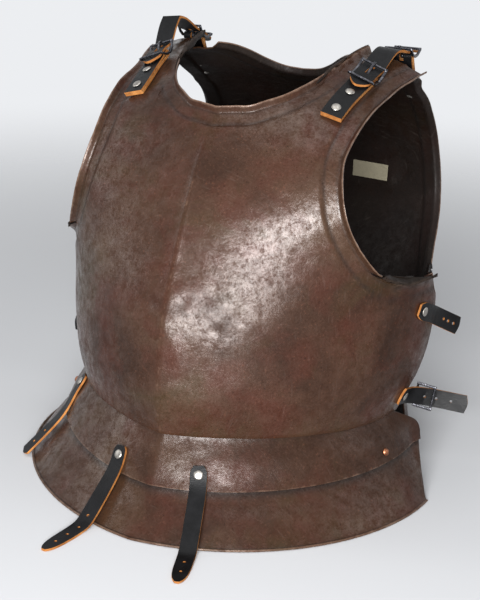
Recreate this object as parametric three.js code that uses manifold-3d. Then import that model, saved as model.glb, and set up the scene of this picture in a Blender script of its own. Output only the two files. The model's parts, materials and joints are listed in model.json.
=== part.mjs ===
// A standing steel cuirass: breastplate, backplate, two front skirt lames, one rear skirt lame,
// and the leather straps, buckles and rivets that join them. Lengths are millimetres, +Z is up,
// the wearer faces -Y, and the table lies at Z = 0. "left" and "right" are the wearer's.

import * as THREE from 'three';
import { mergeVertices } from 'three/addons/utils/BufferGeometryUtils.js';
import Module from 'manifold-3d';

const wasm = await Module();
wasm.setup();

// Plates
const plateThickness = 1.8;
const frontWaistLevel = 97;
const frontRise = 395;
const frontGirth = 552;
const frontDepth = 198;
const frontHalfWidth = 224;
const backWaistLevel = 97;
const backRise = 387;
const backGirth = 474;
const backDepth = 235;
const backHalfWidth = 190;

// Turned rims and sunken borders
const rimTurn = 4.5;
const rimWidth = 5;
const borderWidth = 20;
const borderSink = 2;
const borderStep = 4;

// Front skirt of two lames
const lameThickness = 1.6;
const skirtTuck = 15;
const skirtRise = frontWaistLevel + skirtTuck;
const hemDepthShare = 1.27777778;
const hemHalfWidthShare = 1.11160714;
const hemDepth = hemDepthShare * frontDepth;
const hemHalfWidth = hemHalfWidthShare * frontHalfWidth;
const nestGap = 1.2;
const hemBead = 2.4;
const hemBeadHeight = 3;

// Rear skirt of one lame
const rearSkirtTuck = 15;
const rearSkirtRise = backWaistLevel + rearSkirtTuck;
const rearHemDepthShare = 1.00425532;
const rearHemDepth = rearHemDepthShare * backDepth;
const rearSkirtInset = 3;
const rearHemHalfWidth = backHalfWidth - rearSkirtInset;

// Leather
const leatherThickness = 2.6;
const seatGap = 0.3;
const layerGap = 0.4;
const shoulderStrapWidth = 24;
const sideStrapWidth = 21;
const tassetStrapWidth = 19;
const strapPointLength = 9;
const strapEndMargin = 10;
const tassetRivetAlong = 10;
const punchRadius = 1.7;
const punchPitch = 18;
const rearTipLength = 20;
const upperStrapSeat = 46;
const upperTipBeyond = 53;
const upperTipAcross = backHalfWidth + upperTipBeyond;
const upperTipBack = 72;
const upperTipLevel = 182;
const lowerStrapSeat = 18;
const lowerTipBeyond = 78;
const lowerTipAcross = backHalfWidth + lowerTipBeyond;
const lowerTipBack = 50;
const lowerTipLevel = 97;
const sideTabRivetAlong = 8;
const sideTabKneeAlong = 24;
const sideTabBarBeyond = 6;
const tassetFloorGap = 0.1;
const tassetBend = 9;
const hemLift = 4.6;
const leftTassetAcross = 85;
const leftTassetFront = 304;
const rightTassetAcross = 66;
const rightTassetFront = 317;
const outerTassetAcrossShare = 0.85943775;
const outerTassetFrontShare = 0.57312253;
const outerTassetAcross = outerTassetAcrossShare * hemHalfWidth;
const outerTassetFront = outerTassetFrontShare * hemDepth;
const labelLength = 50;
const labelHeight = 21;
const labelThickness = 0.8;
const labelAside = 68;

// Shoulder straps and their tabs, measured along the plate from the tab's lower end
const frontRivetAlong = 13;
const frontRivetPitch = 30;
const frontTipAlong = 52;
const frontKneeAlong = 66;
const frontBarAlong = 80;
const lowCrestBack = 72;
const lowCrestLevel = 487;
const highCrestBack = 60;
const highCrestLevel = 503;
const leftRearBarShare = 0.7263;
const rightRearBarShare = 0.6895;
const leftRearBarAcross = leftRearBarShare * backHalfWidth;
const rightRearBarAcross = rightRearBarShare * backHalfWidth;
const hingeBack = 114;
const hingeLevel = 476;
const rearRivetAlong = 9;
const rearRivetPitch = 21;
const rearKneeAlong = 37;

// Rivets
const rivetHeadRadius = 5.2;
const rivetHeadRise = 1.7;
const rivetShankRadius = 1.8;
const rivetHoleGap = 0.45;
const rivetTailRadius = 3.6;
const rivetTailRise = 1.1;
const lobeRivetHeadRadius = 4.4;
const lobeRivetHeadRise = 2.8;

// Buckles
const barRadius = 1.5;
const buckleHalfLength = 15.5;
const buckleBow = 8.2;
const buckleSideGap = 1.4;
const prongWidth = 3;
const prongThickness = 1.4;
const prongPlay = 0.4;
const slotGap = 0.8;
const sideBuckleHalfLength = 10;
const sideBuckleBow = 4.6;
const looseGap = 1.5;
const strapPlay = 0.45;

const cutReach = 9;
const quarterTurn = Math.PI / 2;
const roundSides = 6;
const crownShare = 0.7;
const crownRiseShare = 0.8;
const miterShare = 0.5;
const bowKneeShare = 0.5;
const pointShare = 0.25;
const roundedEndShare = 0.6;
const leaveShare = 0.4;
const looseBuckleShare = 0.5;
const punchShares = [0.5, 0.67, 0.84];

// Cross-sections of the front plate, from the waist up over the shoulder. Each one runs from the
// middle line out to the side. Girth, height and half-width shares follow the plate's own sizes,
// and "out" shares follow its depth, counted forward from the wearer's side line.
const frontTable = {
  girthShares: [0, 0.071, 0.152, 0.254, 0.351, 0.473, 0.592, 0.679, 0.775, 0.889, 1],
  midOutShares: [0.96, 1, 0.985, 0.934, 0.823, 0.677, 0.495, 0.333, 0.101, -0.202, -0.505],
  midRiseShares: [0, 0.096, 0.21, 0.349, 0.476, 0.628, 0.767, 0.858, 0.927, 0.977, 1],
  sideWidthShares: [0.879, 0.938, 0.982, 1, 0.996, 0.978, 0.964, 0.946, 0.946, 0.946, 0.946],
  sideOutShares: [-0.051, -0.111, -0.162, -0.182, -0.04, 0.152, 0.081, -0.207, -0.414, -0.606, -0.833],
  sideRiseShares: [-0.013, 0.073, 0.18, 0.324, 0.473, 0.628, 0.767, 0.81, 0.78, 0.828, 0.861],
  ridgeShare: 0.22,
};

const backTable = {
  girthShares: [0, 0.092, 0.192, 0.303, 0.41, 0.516, 0.618, 0.712, 0.809, 0.91, 1],
  midOutShares: [0.8, 0.826, 0.889, 0.962, 1, 0.983, 0.911, 0.791, 0.63, 0.468, 0.298],
  midRiseShares: [0, 0.111, 0.227, 0.357, 0.486, 0.615, 0.731, 0.822, 0.889, 0.964, 1],
  sideWidthShares: [0.937, 0.968, 0.995, 1, 1, 1, 0.989, 0.984, 1, 1.05, 1.08],
  sideOutShares: [0.383, 0.374, 0.357, 0.5, 0.7, 0.766, 0.749, 0.596, 0.426, 0.366, 0.213],
  sideRiseShares: [-0.005, 0.106, 0.22, 0.354, 0.486, 0.615, 0.731, 0.814, 0.86, 0.848, 0.822],
  ridgeShare: 0,
};

// Outlines on the plates: shares of a quarter turn round the body, and shares of the girth.
const frontOutline = {
  armAngleShares: [1, 0.875, 0.766, 0.647, 0.572, 0.525, 0.497, 0.483, 0.499, 0.525, 0.551, 0.581, 0.612],
  armGirthShares: [0.304, 0.306, 0.305, 0.334, 0.391, 0.454, 0.513, 0.572, 0.625, 0.692, 0.811, 0.857, 0.912],
  neckAngleShares: [0, 0.058, 0.11, 0.145, 0.197, 0.239, 0.274, 0.302, 0.327],
  neckGirthShares: [0.662, 0.667, 0.672, 0.685, 0.707, 0.743, 0.794, 0.861, 0.962],
};

const backOutline = {
  armAngleShares: [1, 0.89, 0.82, 0.765, 0.715, 0.668, 0.637, 0.627, 0.633, 0.617, 0.592],
  armGirthShares: [0.287, 0.256, 0.256, 0.295, 0.38, 0.475, 0.57, 0.633, 0.728, 0.833, 0.939],
  neckAngleShares: [0, 0.076, 0.14, 0.197, 0.248, 0.288],
  neckGirthShares: [0.805, 0.815, 0.845, 0.885, 0.92, 0.941],
};

// Rings of the front skirt, from the hem up to the edge hidden inside the breastplate.
const skirtTable = {
  stepShares: [0, 0.2, 0.4, 0.6, 0.8, 1],
  midRiseShares: [0, 0.196, 0.411, 0.643, 0.866, 1],
  midOutShares: [1, 0.917, 0.846, 0.791, 0.737, 0.732],
  sideWidthShares: [1, 0.936, 0.876, 0.839, 0.776, 0.781],
  sideOutShares: [0.008, -0.024, -0.047, -0.047, -0.04, -0.047],
  sideRiseShares: [0, 0.232, 0.473, 0.661, 0.821, 0.946],
  ridgeShares: [0.08, 0.1, 0.14, 0.18, 0.22, 0.22],
  endAngleShares: [0.955, 1, 1.045, 1.055, 0.985, 0.975],
  tailFlareShare: 0.3,
};

const rearSkirtTable = {
  stepShares: [0, 0.4, 0.8, 1],
  midRiseShares: [0, 0.446, 0.866, 1],
  midOutShares: [1, 0.868, 0.78, 0.781],
  sideWidthShares: [1, 0.962, 0.93, 0.936],
  sideOutShares: [0.39, 0.385, 0.381, 0.381],
  sideRiseShares: [0, 0.446, 0.848, 0.982],
  ridgeShares: [0, 0, 0, 0],
  endAngleShares: [0.97, 0.98, 0.985, 0.985],
  tailFlareShare: 0,
};

const steelBrown = { color: 0x4a3027, roughness: 0.42, metalness: 0.85 };
const steelDark = { color: 0x3a2a24, roughness: 0.5, metalness: 0.8 };
const leatherBlack = { color: 0x17181c, roughness: 0.55, metalness: 0 };
const nickel = { color: 0x9b9890, roughness: 0.35, metalness: 0.95 };
const gunmetal = { color: 0x2c2c30, roughness: 0.3, metalness: 0.95 };
const copper = { color: 0x8c4a26, roughness: 0.35, metalness: 0.9 };
const labelTan = { color: 0x8f8672, roughness: 0.7, metalness: 0 };

const cuirass = new THREE.Group();

// Smooth curve through unevenly spaced values.
function through(knots, values, at) {
  const last = knots.length - 1;
  let i = 0;
  while (i < last - 1 && at > knots[i + 1]) i += 1;
  const slope = (j) => {
    if (j === 0) return (values[1] - values[0]) / (knots[1] - knots[0]);
    if (j === last) return (values[last] - values[last - 1]) / (knots[last] - knots[last - 1]);
    const before = knots[j] - knots[j - 1];
    const after = knots[j + 1] - knots[j];
    const fall = (values[j] - values[j - 1]) / before;
    const climb = (values[j + 1] - values[j]) / after;
    return (fall * after + climb * before) / (before + after);
  };
  const span = knots[i + 1] - knots[i];
  const u = (at - knots[i]) / span;
  const startBlend = 2 * u ** 3 - 3 * u ** 2 + 1;
  const startSlope = (u ** 3 - 2 * u ** 2 + u) * span * slope(i);
  const endSlope = (u ** 3 - u ** 2) * span * slope(i + 1);
  return startBlend * values[i] + startSlope + (1 - startBlend) * values[i + 1] + endSlope;
}

function smoothStep(from, to, at) {
  const u = Math.min(1, Math.max(0, (at - from) / (to - from)));
  return u * u * (3 - 2 * u);
}

// A plate's skin: angle round the body (negative on the wearer's right) and girth share.
function plateSkin(table, facing, level, rise, depth, halfWidth) {
  return (angle, girth) => {
    const turn = Math.abs(angle);
    const value = (row) => through(table.girthShares, table[row], girth);
    const sine = Math.sin(turn);
    const fall = 1 - Math.cos(turn);
    const midOut = value('midOutShares');
    const midRise = value('midRiseShares');
    const pull = table.ridgeShare * sine + (1 - table.ridgeShare) * fall;
    const out = midOut + (value('sideOutShares') - midOut) * pull;
    const x = halfWidth * value('sideWidthShares') * sine * Math.sign(angle);
    const z = level + rise * (midRise + (value('sideRiseShares') - midRise) * fall);
    return new THREE.Vector3(x, facing * depth * out, z);
  };
}

// A skirt's skin: angle round the body and step share up from the hem.
function skirtSkin(table, facing, rise, depth, halfWidth) {
  return (angle, step) => {
    const turn = Math.abs(angle);
    const value = (row) => through(table.stepShares, table[row], step);
    const bend = Math.min(turn, quarterTurn);
    const tail = Math.max(0, turn - quarterTurn);
    const sine = Math.sin(bend);
    const fall = 1 - Math.cos(bend);
    const ridge = value('ridgeShares');
    const midOut = value('midOutShares');
    const width = halfWidth * value('sideWidthShares');
    const out = depth * (midOut + (value('sideOutShares') - midOut) * (ridge * sine + (1 - ridge) * fall));
    const x = width * (sine + table.tailFlareShare * tail) * Math.sign(angle);
    const z = rise * (value('midRiseShares') + (value('sideRiseShares') - value('midRiseShares')) * fall);
    return new THREE.Vector3(x, facing * (out - width * tail), z);
  };
}

const frontSkin = plateSkin(frontTable, -1, frontWaistLevel, frontRise, frontDepth, frontHalfWidth);
const backSkin = plateSkin(backTable, 1, backWaistLevel, backRise, backDepth, backHalfWidth);
const frontSkirt = skirtSkin(skirtTable, -1, skirtRise, hemDepth, hemHalfWidth);
const rearSkirt = skirtSkin(rearSkirtTable, 1, rearSkirtRise, rearHemDepth, rearHemHalfWidth);

// Outward normal and a point lifted off a skin.
function outwardOf(skin, facing, angle, girth) {
  const nudge = 0.004;
  const across = skin(angle + nudge, girth).sub(skin(angle - nudge, girth));
  const along = skin(angle, girth + nudge).sub(skin(angle, girth - nudge));
  return across.cross(along).multiplyScalar(facing).normalize();
}

function onSkin(skin, facing, angle, girth, lift) {
  const normal = outwardOf(skin, facing, angle, girth);
  const point = skin(angle, girth).addScaledVector(normal, lift);
  return { point, normal };
}

// Closed solid between an outer and an inner grid of points.
function slabGeometry(outer, inner) {
  const rows = outer.length;
  const columns = outer[0].length;
  const places = [];
  for (const grid of [outer, inner]) {
    for (const row of grid) {
      for (const point of row) places.push(point.x, point.y, point.z);
    }
  }
  const outerAt = (i, j) => i * columns + j;
  const innerAt = (i, j) => rows * columns + i * columns + j;
  const faces = [];
  const quad = (a, b, c, d) => faces.push(a, b, c, a, c, d);
  for (let i = 0; i < rows - 1; i += 1) {
    for (let j = 0; j < columns - 1; j += 1) {
      quad(outerAt(i, j), outerAt(i, j + 1), outerAt(i + 1, j + 1), outerAt(i + 1, j));
      quad(innerAt(i, j), innerAt(i + 1, j), innerAt(i + 1, j + 1), innerAt(i, j + 1));
    }
  }
  for (let j = 0; j < columns - 1; j += 1) {
    quad(outerAt(0, j), innerAt(0, j), innerAt(0, j + 1), outerAt(0, j + 1));
    quad(outerAt(rows - 1, j), outerAt(rows - 1, j + 1), innerAt(rows - 1, j + 1), innerAt(rows - 1, j));
  }
  for (let i = 0; i < rows - 1; i += 1) {
    quad(outerAt(i, 0), outerAt(i + 1, 0), innerAt(i + 1, 0), innerAt(i, 0));
    quad(outerAt(i, columns - 1), innerAt(i, columns - 1), innerAt(i + 1, columns - 1), outerAt(i + 1, columns - 1));
  }
  return facingOut(places, faces);
}

// Builds a geometry whose faces point out.
function facingOut(places, faces) {
  const corner = (k) => new THREE.Vector3(places[3 * k], places[3 * k + 1], places[3 * k + 2]);
  let volume = 0;
  for (let f = 0; f < faces.length; f += 3) {
    volume += corner(faces[f]).dot(corner(faces[f + 1]).cross(corner(faces[f + 2])));
  }
  const ordered = [];
  for (let f = 0; f < faces.length; f += 3) {
    if (volume > 0) ordered.push(faces[f], faces[f + 1], faces[f + 2]);
    else ordered.push(faces[f], faces[f + 2], faces[f + 1]);
  }
  const geometry = new THREE.BufferGeometry();
  geometry.setAttribute('position', new THREE.Float32BufferAttribute(places, 3));
  geometry.setIndex(ordered);
  return geometry;
}

function gridNormals(grid) {
  const normals = [];
  for (let i = 0; i < grid.length; i += 1) {
    const row = [];
    for (let j = 0; j < grid[0].length; j += 1) {
      const up = grid[Math.min(i + 1, grid.length - 1)][j].clone().sub(grid[Math.max(i - 1, 0)][j]);
      const across = grid[i][Math.min(j + 1, grid[0].length - 1)].clone().sub(grid[i][Math.max(j - 1, 0)]);
      row.push(across.cross(up).normalize());
    }
    normals.push(row);
  }
  return normals;
}

function slabFromGrid(outer, facing, thickness) {
  const normals = gridNormals(outer);
  const inner = outer.map((row, i) => row.map((point, j) => (
    point.clone().addScaledVector(normals[i][j], facing * thickness)
  )));
  return slabGeometry(outer, inner);
}

// Joins and cuts closed geometries.
function solidOf(geometry) {
  const bare = geometry.clone();
  bare.deleteAttribute('normal');
  bare.deleteAttribute('uv');
  const merged = mergeVertices(bare);
  const vertProperties = new Float32Array(merged.attributes.position.array);
  const triVerts = new Uint32Array(merged.index.array);
  return new wasm.Manifold(new wasm.Mesh({ numProp: 3, vertProperties, triVerts }));
}

function geometryOf(solid) {
  const mesh = solid.getMesh();
  const geometry = new THREE.BufferGeometry();
  geometry.setAttribute('position', new THREE.Float32BufferAttribute(mesh.vertProperties, 3));
  geometry.setIndex(Array.from(mesh.triVerts));
  return geometry;
}

function cutBy(geometry, tools) {
  let solid = solidOf(geometry);
  for (const tool of tools) solid = solid.subtract(solidOf(tool));
  return geometryOf(solid);
}

function joinAll(geometries) {
  let solid = solidOf(geometries[0]);
  for (const geometry of geometries.slice(1)) solid = solid.add(solidOf(geometry));
  return geometryOf(solid);
}

function addPiece(name, geometry, look) {
  const mesh = new THREE.Mesh(geometry, new THREE.MeshStandardMaterial(look));
  mesh.name = name;
  cuirass.add(mesh);
  return mesh;
}

function placed(geometry, frame) {
  return geometry.clone().applyMatrix4(frame);
}

// Plate grid: even steps inside, then narrow steps that carry the border and the rim.
const borderInner = borderWidth + borderStep;
const edgeInsets = [borderInner, borderWidth, rimWidth, rimWidth / 2, 0];

function plateOutlinePoint(knotAngles, knotGirths, share) {
  const lengths = [0];
  for (let k = 1; k < knotAngles.length; k += 1) {
    const step = Math.hypot(knotAngles[k] - knotAngles[k - 1], knotGirths[k] - knotGirths[k - 1]);
    lengths.push(lengths[k - 1] + step);
  }
  const total = lengths[lengths.length - 1];
  const shares = lengths.map((length) => length / total);
  return [through(shares, knotAngles, share), through(shares, knotGirths, share)];
}

function platePatch(outline) {
  const neckShare = 0.66;
  const sideShare = 0.3;
  const neckEnd = outline.neckAngleShares.length - 1;
  const armEnd = outline.armAngleShares.length - 1;
  const bottom = (u) => [u, 0];
  const middle = (v) => [0, v * outline.neckGirthShares[0]];
  const side = (v) => {
    if (v < sideShare) return [1, (v / sideShare) * outline.armGirthShares[0]];
    const share = (v - sideShare) / (1 - sideShare);
    return plateOutlinePoint(outline.armAngleShares, outline.armGirthShares, share);
  };
  const top = (u) => {
    if (u < neckShare) {
      return plateOutlinePoint(outline.neckAngleShares, outline.neckGirthShares, u / neckShare);
    }
    const share = (u - neckShare) / (1 - neckShare);
    const from = [outline.neckAngleShares[neckEnd], outline.neckGirthShares[neckEnd]];
    const to = [outline.armAngleShares[armEnd], outline.armGirthShares[armEnd]];
    return [from[0] + (to[0] - from[0]) * share, from[1] + (to[1] - from[1]) * share];
  };
  const corners = [bottom(0), bottom(1), top(0), top(1)];
  const patch = (u, v) => [0, 1].map((axis) => {
    const ruled = (1 - v) * bottom(u)[axis] + v * top(u)[axis] + (1 - u) * middle(v)[axis] + u * side(v)[axis];
    const low = (1 - u) * corners[0][axis] + u * corners[1][axis];
    const high = (1 - u) * corners[2][axis] + u * corners[3][axis];
    return ruled - (1 - v) * low - v * high;
  });
  return { patch, neckShare, sideShare };
}

function borderLift(inset) {
  const sink = -borderSink * (1 - smoothStep(borderWidth, borderInner, inset));
  const turn = (rimTurn + borderSink) * (1 - smoothStep(0, rimWidth, inset));
  return sink + turn;
}

// Even shares along a length, then the narrow steps of the border and the rim.
function edgeShares(length, count) {
  const inner = 1 - borderInner / length;
  const shares = [];
  for (let k = 0; k < count; k += 1) shares.push((inner * k) / count);
  for (const inset of edgeInsets) shares.push(1 - inset / length);
  return shares;
}

function distanceTo(line, place) {
  let least = Infinity;
  const nearest = new THREE.Vector3();
  const stretch = new THREE.Line3();
  for (let k = 1; k < line.length; k += 1) {
    stretch.set(line[k - 1], line[k]).closestPointToPoint(place, true, nearest);
    least = Math.min(least, nearest.distanceTo(place));
  }
  return least;
}

function plateGrid(skin, facing, outline, columnCount, rowCount) {
  const { patch, neckShare, sideShare } = platePatch(outline);
  const at = (u, v) => {
    const [angleShare, girth] = patch(u, v);
    return skin(angleShare * quarterTurn, girth);
  };
  const lengthOf = (path) => {
    const samples = 12;
    let length = 0;
    for (let k = 1; k <= samples; k += 1) length += path(k / samples).distanceTo(path((k - 1) / samples));
    return length;
  };
  const rowLength = (v) => lengthOf((u) => at(u, v));
  const columnLength = (u) => lengthOf((v) => at(u, v));
  const rimLines = (from, to, place) => {
    const samples = 40;
    const line = [];
    for (let k = 0; k <= samples; k += 1) line.push(place(from + ((to - from) * k) / samples));
    return line;
  };
  const armLine = rimLines(sideShare, 1, (v) => at(1, v));
  const neckLine = rimLines(0, neckShare, (u) => at(u, 1));
  const grid = [];
  const rowTotal = rowCount + edgeInsets.length;
  const columnTotal = columnCount + edgeInsets.length;
  for (let i = 0; i < rowTotal; i += 1) {
    const half = [];
    for (let j = 0; j < columnTotal; j += 1) {
      const columnShare = edgeShares(rowLength(i / (rowTotal - 1)), columnCount)[j];
      const rowShare = edgeShares(columnLength(j / (columnTotal - 1)), rowCount)[i];
      const [angleShare, girth] = patch(columnShare, rowShare);
      const place = at(columnShare, rowShare);
      const lift = borderLift(Math.min(distanceTo(armLine, place), distanceTo(neckLine, place)));
      half.push(onSkin(skin, facing, angleShare * quarterTurn, girth, lift).point);
    }
    const mirrored = half.slice(1).reverse().map((point) => new THREE.Vector3(-point.x, point.y, point.z));
    grid.push([...mirrored, ...half]);
  }
  return grid;
}

// Skirt grid: rings from the lower step to the upper one, with the columns of the plate above.
function skirtGrid(skin, facing, table, columnShares, rowShares, stepAt, liftAt, hemmed) {
  const rows = rowShares.map((row) => {
    const endShare = through(table.stepShares, table.endAngleShares, stepAt(row, 1));
    const half = columnShares.map((share) => share * endShare);
    const turned = half.map((share) => {
      const step = stepAt(row, share);
      return onSkin(skin, facing, share * quarterTurn, step, liftAt(step)).point;
    });
    const flipped = turned.slice(1).reverse().map((point) => new THREE.Vector3(-point.x, point.y, point.z));
    return [...flipped, ...turned];
  });
  if (!hemmed) return rows;
  const centre = rows[0].reduce((sum, point) => sum + point.y, 0) / rows[0].length;
  const hem = rows[0].map((point) => {
    const outward = new THREE.Vector3(point.x, point.y - centre, 0).normalize();
    return new THREE.Vector3(point.x, point.y, 0).addScaledVector(outward, hemBead);
  });
  const beadTop = hem.map((point) => new THREE.Vector3(point.x, point.y, hemBeadHeight));
  return [hem, beadTop, ...rows.slice(1)];
}

function skirtSlab(grid, facing, hemmed) {
  const normals = gridNormals(grid);
  const inner = grid.map((row, i) => row.map((point, j) => {
    const place = point.clone().addScaledVector(normals[i][j], facing * lameThickness);
    if (hemmed && i === 0) place.z = 0;
    return place;
  }));
  return slabGeometry(grid, inner);
}

// How far a plate's outer face stands off a point, over a width across it.
function standOff(plate, point, out, across, halfWidth) {
  let highest = -Infinity;
  for (const share of [-1.1, -0.55, 0, 0.55, 1.1]) {
    const from = point.clone().addScaledVector(across, share * halfWidth).addScaledVector(out, cutReach);
    const [hit] = new THREE.Raycaster(from, out.clone().negate(), 0, 2 * cutReach).intersectObject(plate);
    if (hit) highest = Math.max(highest, cutReach - hit.distance);
  }
  return highest;
}

// A line that runs along a plate, lying on its outer face over a given width.
function skinLine({ skin, facing, body }, halfWidth, from, to) {
  const plate = new THREE.Mesh(body, new THREE.MeshBasicMaterial({ side: THREE.DoubleSide }));
  const samples = 24;
  const marks = [];
  for (let k = 0; k <= samples; k += 1) {
    const share = k / samples;
    const angle = (from[0] + (to[0] - from[0]) * share) * quarterTurn;
    marks.push(onSkin(skin, facing, angle, from[1] + (to[1] - from[1]) * share, 0));
  }
  const start = marks[0].point;
  const course = marks[samples].point.clone().sub(start).normalize();
  const stands = marks.map(({ point, normal }) => (
    standOff(plate, point, normal, course.clone().cross(normal).normalize(), halfWidth)
  ));
  let length = 0;
  marks.forEach((mark, k) => {
    const near = [Math.max(k - 1, 0), k, Math.min(k + 1, samples)].map((index) => stands[index]);
    const found = Math.max(...near);
    mark.stand = Number.isFinite(found) ? found : marks[k - 1].stand;
    mark.point = mark.point.clone().addScaledVector(mark.normal, mark.stand);
    if (k > 0) length += mark.point.distanceTo(marks[k - 1].point);
    mark.length = length;
  });
  return (along) => {
    let k = 1;
    while (k < samples && marks[k].length < along) k += 1;
    const before = marks[k - 1];
    const after = marks[k];
    const share = (along - before.length) / (after.length - before.length);
    const blend = Math.min(1, Math.max(0, share));
    const out = before.normal.clone().lerp(after.normal, blend).normalize();
    const direction = after.point.clone().sub(before.point);
    const across = direction.cross(out).normalize();
    return { point: before.point.clone().lerp(after.point, share), out, across };
  };
}

function spotOn(line, along, lift) {
  const { point, out, across } = line(along);
  return { point: point.clone().addScaledVector(out, lift), across, out };
}

// Closed band of leather through stations of a middle point and the direction across it.
function bandGeometry(stations, halfWidth, taperTo) {
  const last = stations.length - 1;
  const outer = [];
  const inner = [];
  for (let i = 0; i <= last; i += 1) {
    const { point, across } = stations[i];
    const ahead = stations[Math.min(i + 1, last)].point.clone().sub(point);
    const behind = point.clone().sub(stations[Math.max(i - 1, 0)].point);
    if (i === last) ahead.copy(behind);
    if (i === 0) behind.copy(ahead);
    const forward = ahead.clone().normalize();
    const backward = behind.clone().normalize();
    const tangent = forward.clone().add(backward).normalize();
    const out = across.clone().cross(tangent).normalize();
    const side = tangent.clone().cross(out).normalize();
    const miter = 1 / Math.max(miterShare, tangent.dot(forward));
    const half = halfWidth * (taperTo ? taperTo(i) : 1);
    const lift = (leatherThickness / 2) * miter;
    const edge = (way, rise) => point.clone().addScaledVector(side, way * half).addScaledVector(out, rise);
    outer.push([edge(-1, lift), edge(1, lift)]);
    inner.push([edge(-1, -lift), edge(1, -lift)]);
  }
  return slabGeometry(outer, inner);
}

// Round or long hole through everything near a frame, along its Z.
function holeTool(frame, radius) {
  const tool = new THREE.CylinderGeometry(radius, radius, 2 * cutReach, roundSides);
  return placed(tool.rotateX(quarterTurn), frame);
}

function slotTool(frame, width, from, to) {
  const tool = new THREE.BoxGeometry(width, to - from, 2 * cutReach);
  return placed(tool.translate(0, (from + to) / 2, 0), frame);
}

// Frame at a spot: X across, Y along, Z out.
function localFrame({ point, across, out }) {
  const along = out.clone().cross(across);
  return new THREE.Matrix4().makeBasis(across, along, out).setPosition(point);
}

// Rivet with its head seated at Z = 0 and its tail spread under the grip.
function rivetGeometry(headRadius, headRise, grip) {
  const tailSeat = -grip - seatGap;
  const profile = [
    new THREE.Vector2(0, tailSeat - rivetTailRise),
    new THREE.Vector2(rivetTailRadius, tailSeat),
    new THREE.Vector2(rivetShankRadius, tailSeat),
    new THREE.Vector2(rivetShankRadius, seatGap),
    new THREE.Vector2(headRadius, seatGap),
    new THREE.Vector2(headRadius * crownShare, headRise * crownRiseShare),
    new THREE.Vector2(0, headRise),
  ];
  return new THREE.LatheGeometry(profile, roundSides).rotateX(quarterTurn);
}

// Buckle frame: two bowed rails and three cross bars. X runs across, Y along, Z out.
function buckleGeometry(stripHalfWidth, halfLength, bow, withMiddle) {
  const railInner = stripHalfWidth + buckleSideGap;
  const railWidth = 2 * barRadius;
  const bands = [-1, -bowKneeShare, 0, bowKneeShare, 1];
  const shape = new THREE.Shape();
  const railEnd = (halfLength + barRadius) / halfLength;
  const spots = bands.map((share) => [share * halfLength * railEnd, bow * share * share]);
  shape.moveTo(spots[0][0], spots[0][1] - barRadius);
  for (const [y, z] of spots.slice(1)) shape.lineTo(y, z - barRadius);
  for (const [y, z] of spots.slice().reverse()) shape.lineTo(y, z + barRadius);
  const rail = new THREE.ExtrudeGeometry(shape, { depth: railWidth, bevelEnabled: false });
  const turn = new THREE.Matrix4().makeBasis(
    new THREE.Vector3(0, 1, 0), new THREE.Vector3(0, 0, 1), new THREE.Vector3(1, 0, 0),
  );
  rail.applyMatrix4(turn);
  const pieces = [
    rail.clone().translate(railInner, 0, 0),
    rail.clone().translate(-railInner - railWidth, 0, 0),
  ];
  const barAt = (y, z) => {
    const bar = new THREE.CylinderGeometry(barRadius, barRadius, 2 * railInner + railWidth, roundSides);
    return bar.rotateZ(quarterTurn).translate(0, y, z);
  };
  pieces.push(barAt(-halfLength, bow), barAt(halfLength, bow));
  if (withMiddle) pieces.push(barAt(0, 0));
  return joinAll(pieces);
}

// Prong: a ring round the middle bar and an arm that rests on the far bar.
function prongGeometry(halfLength, bow) {
  const ringInner = barRadius + prongPlay;
  const ringOuter = ringInner + prongThickness;
  const restLift = bow + barRadius + seatGap;
  const shape = new THREE.Shape();
  const arcFrom = 1.75;
  const arcTo = 6.6;
  const arcSteps = 6;
  for (let k = 0; k <= arcSteps; k += 1) {
    const angle = arcFrom + ((arcTo - arcFrom) * k) / arcSteps;
    const corner = [ringOuter * Math.cos(angle), ringOuter * Math.sin(angle)];
    if (k === 0) shape.moveTo(...corner);
    else shape.lineTo(...corner);
  }
  const kneeAt = halfLength - 2 * barRadius;
  shape.lineTo(kneeAt, restLift);
  shape.lineTo(halfLength + barRadius, restLift);
  shape.lineTo(halfLength + barRadius, restLift + prongThickness);
  shape.lineTo(kneeAt - prongThickness, restLift + prongThickness);
  const eye = new THREE.Path();
  for (let k = 0; k < roundSides; k += 1) {
    const angle = (-2 * Math.PI * k) / roundSides;
    const corner = [ringInner * Math.cos(angle), ringInner * Math.sin(angle)];
    if (k === 0) eye.moveTo(...corner);
    else eye.lineTo(...corner);
  }
  eye.closePath();
  shape.holes.push(eye);
  const prong = new THREE.ExtrudeGeometry(shape, { depth: prongWidth, bevelEnabled: false });
  const turn = new THREE.Matrix4().makeBasis(
    new THREE.Vector3(0, 1, 0), new THREE.Vector3(0, 0, 1), new THREE.Vector3(1, 0, 0),
  );
  return prong.translate(0, 0, -prongWidth / 2).applyMatrix4(turn);
}

// Columns of a skirt: the even ones of the plate above, its border's inner edge and its side edge.
function skirtColumns(skin, count) {
  const samples = 12;
  let length = 0;
  for (let k = 1; k <= samples; k += 1) {
    const here = skin((quarterTurn * k) / samples, 0);
    length += here.distanceTo(skin((quarterTurn * (k - 1)) / samples, 0));
  }
  return [...edgeShares(length, count).slice(0, count + 1), 1];
}

const frontColumns = skirtColumns(frontSkin, 9);
const rearColumns = skirtColumns(backSkin, 8);
const stepBetween = (from, to) => (row) => from + (to - from) * row;

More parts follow.
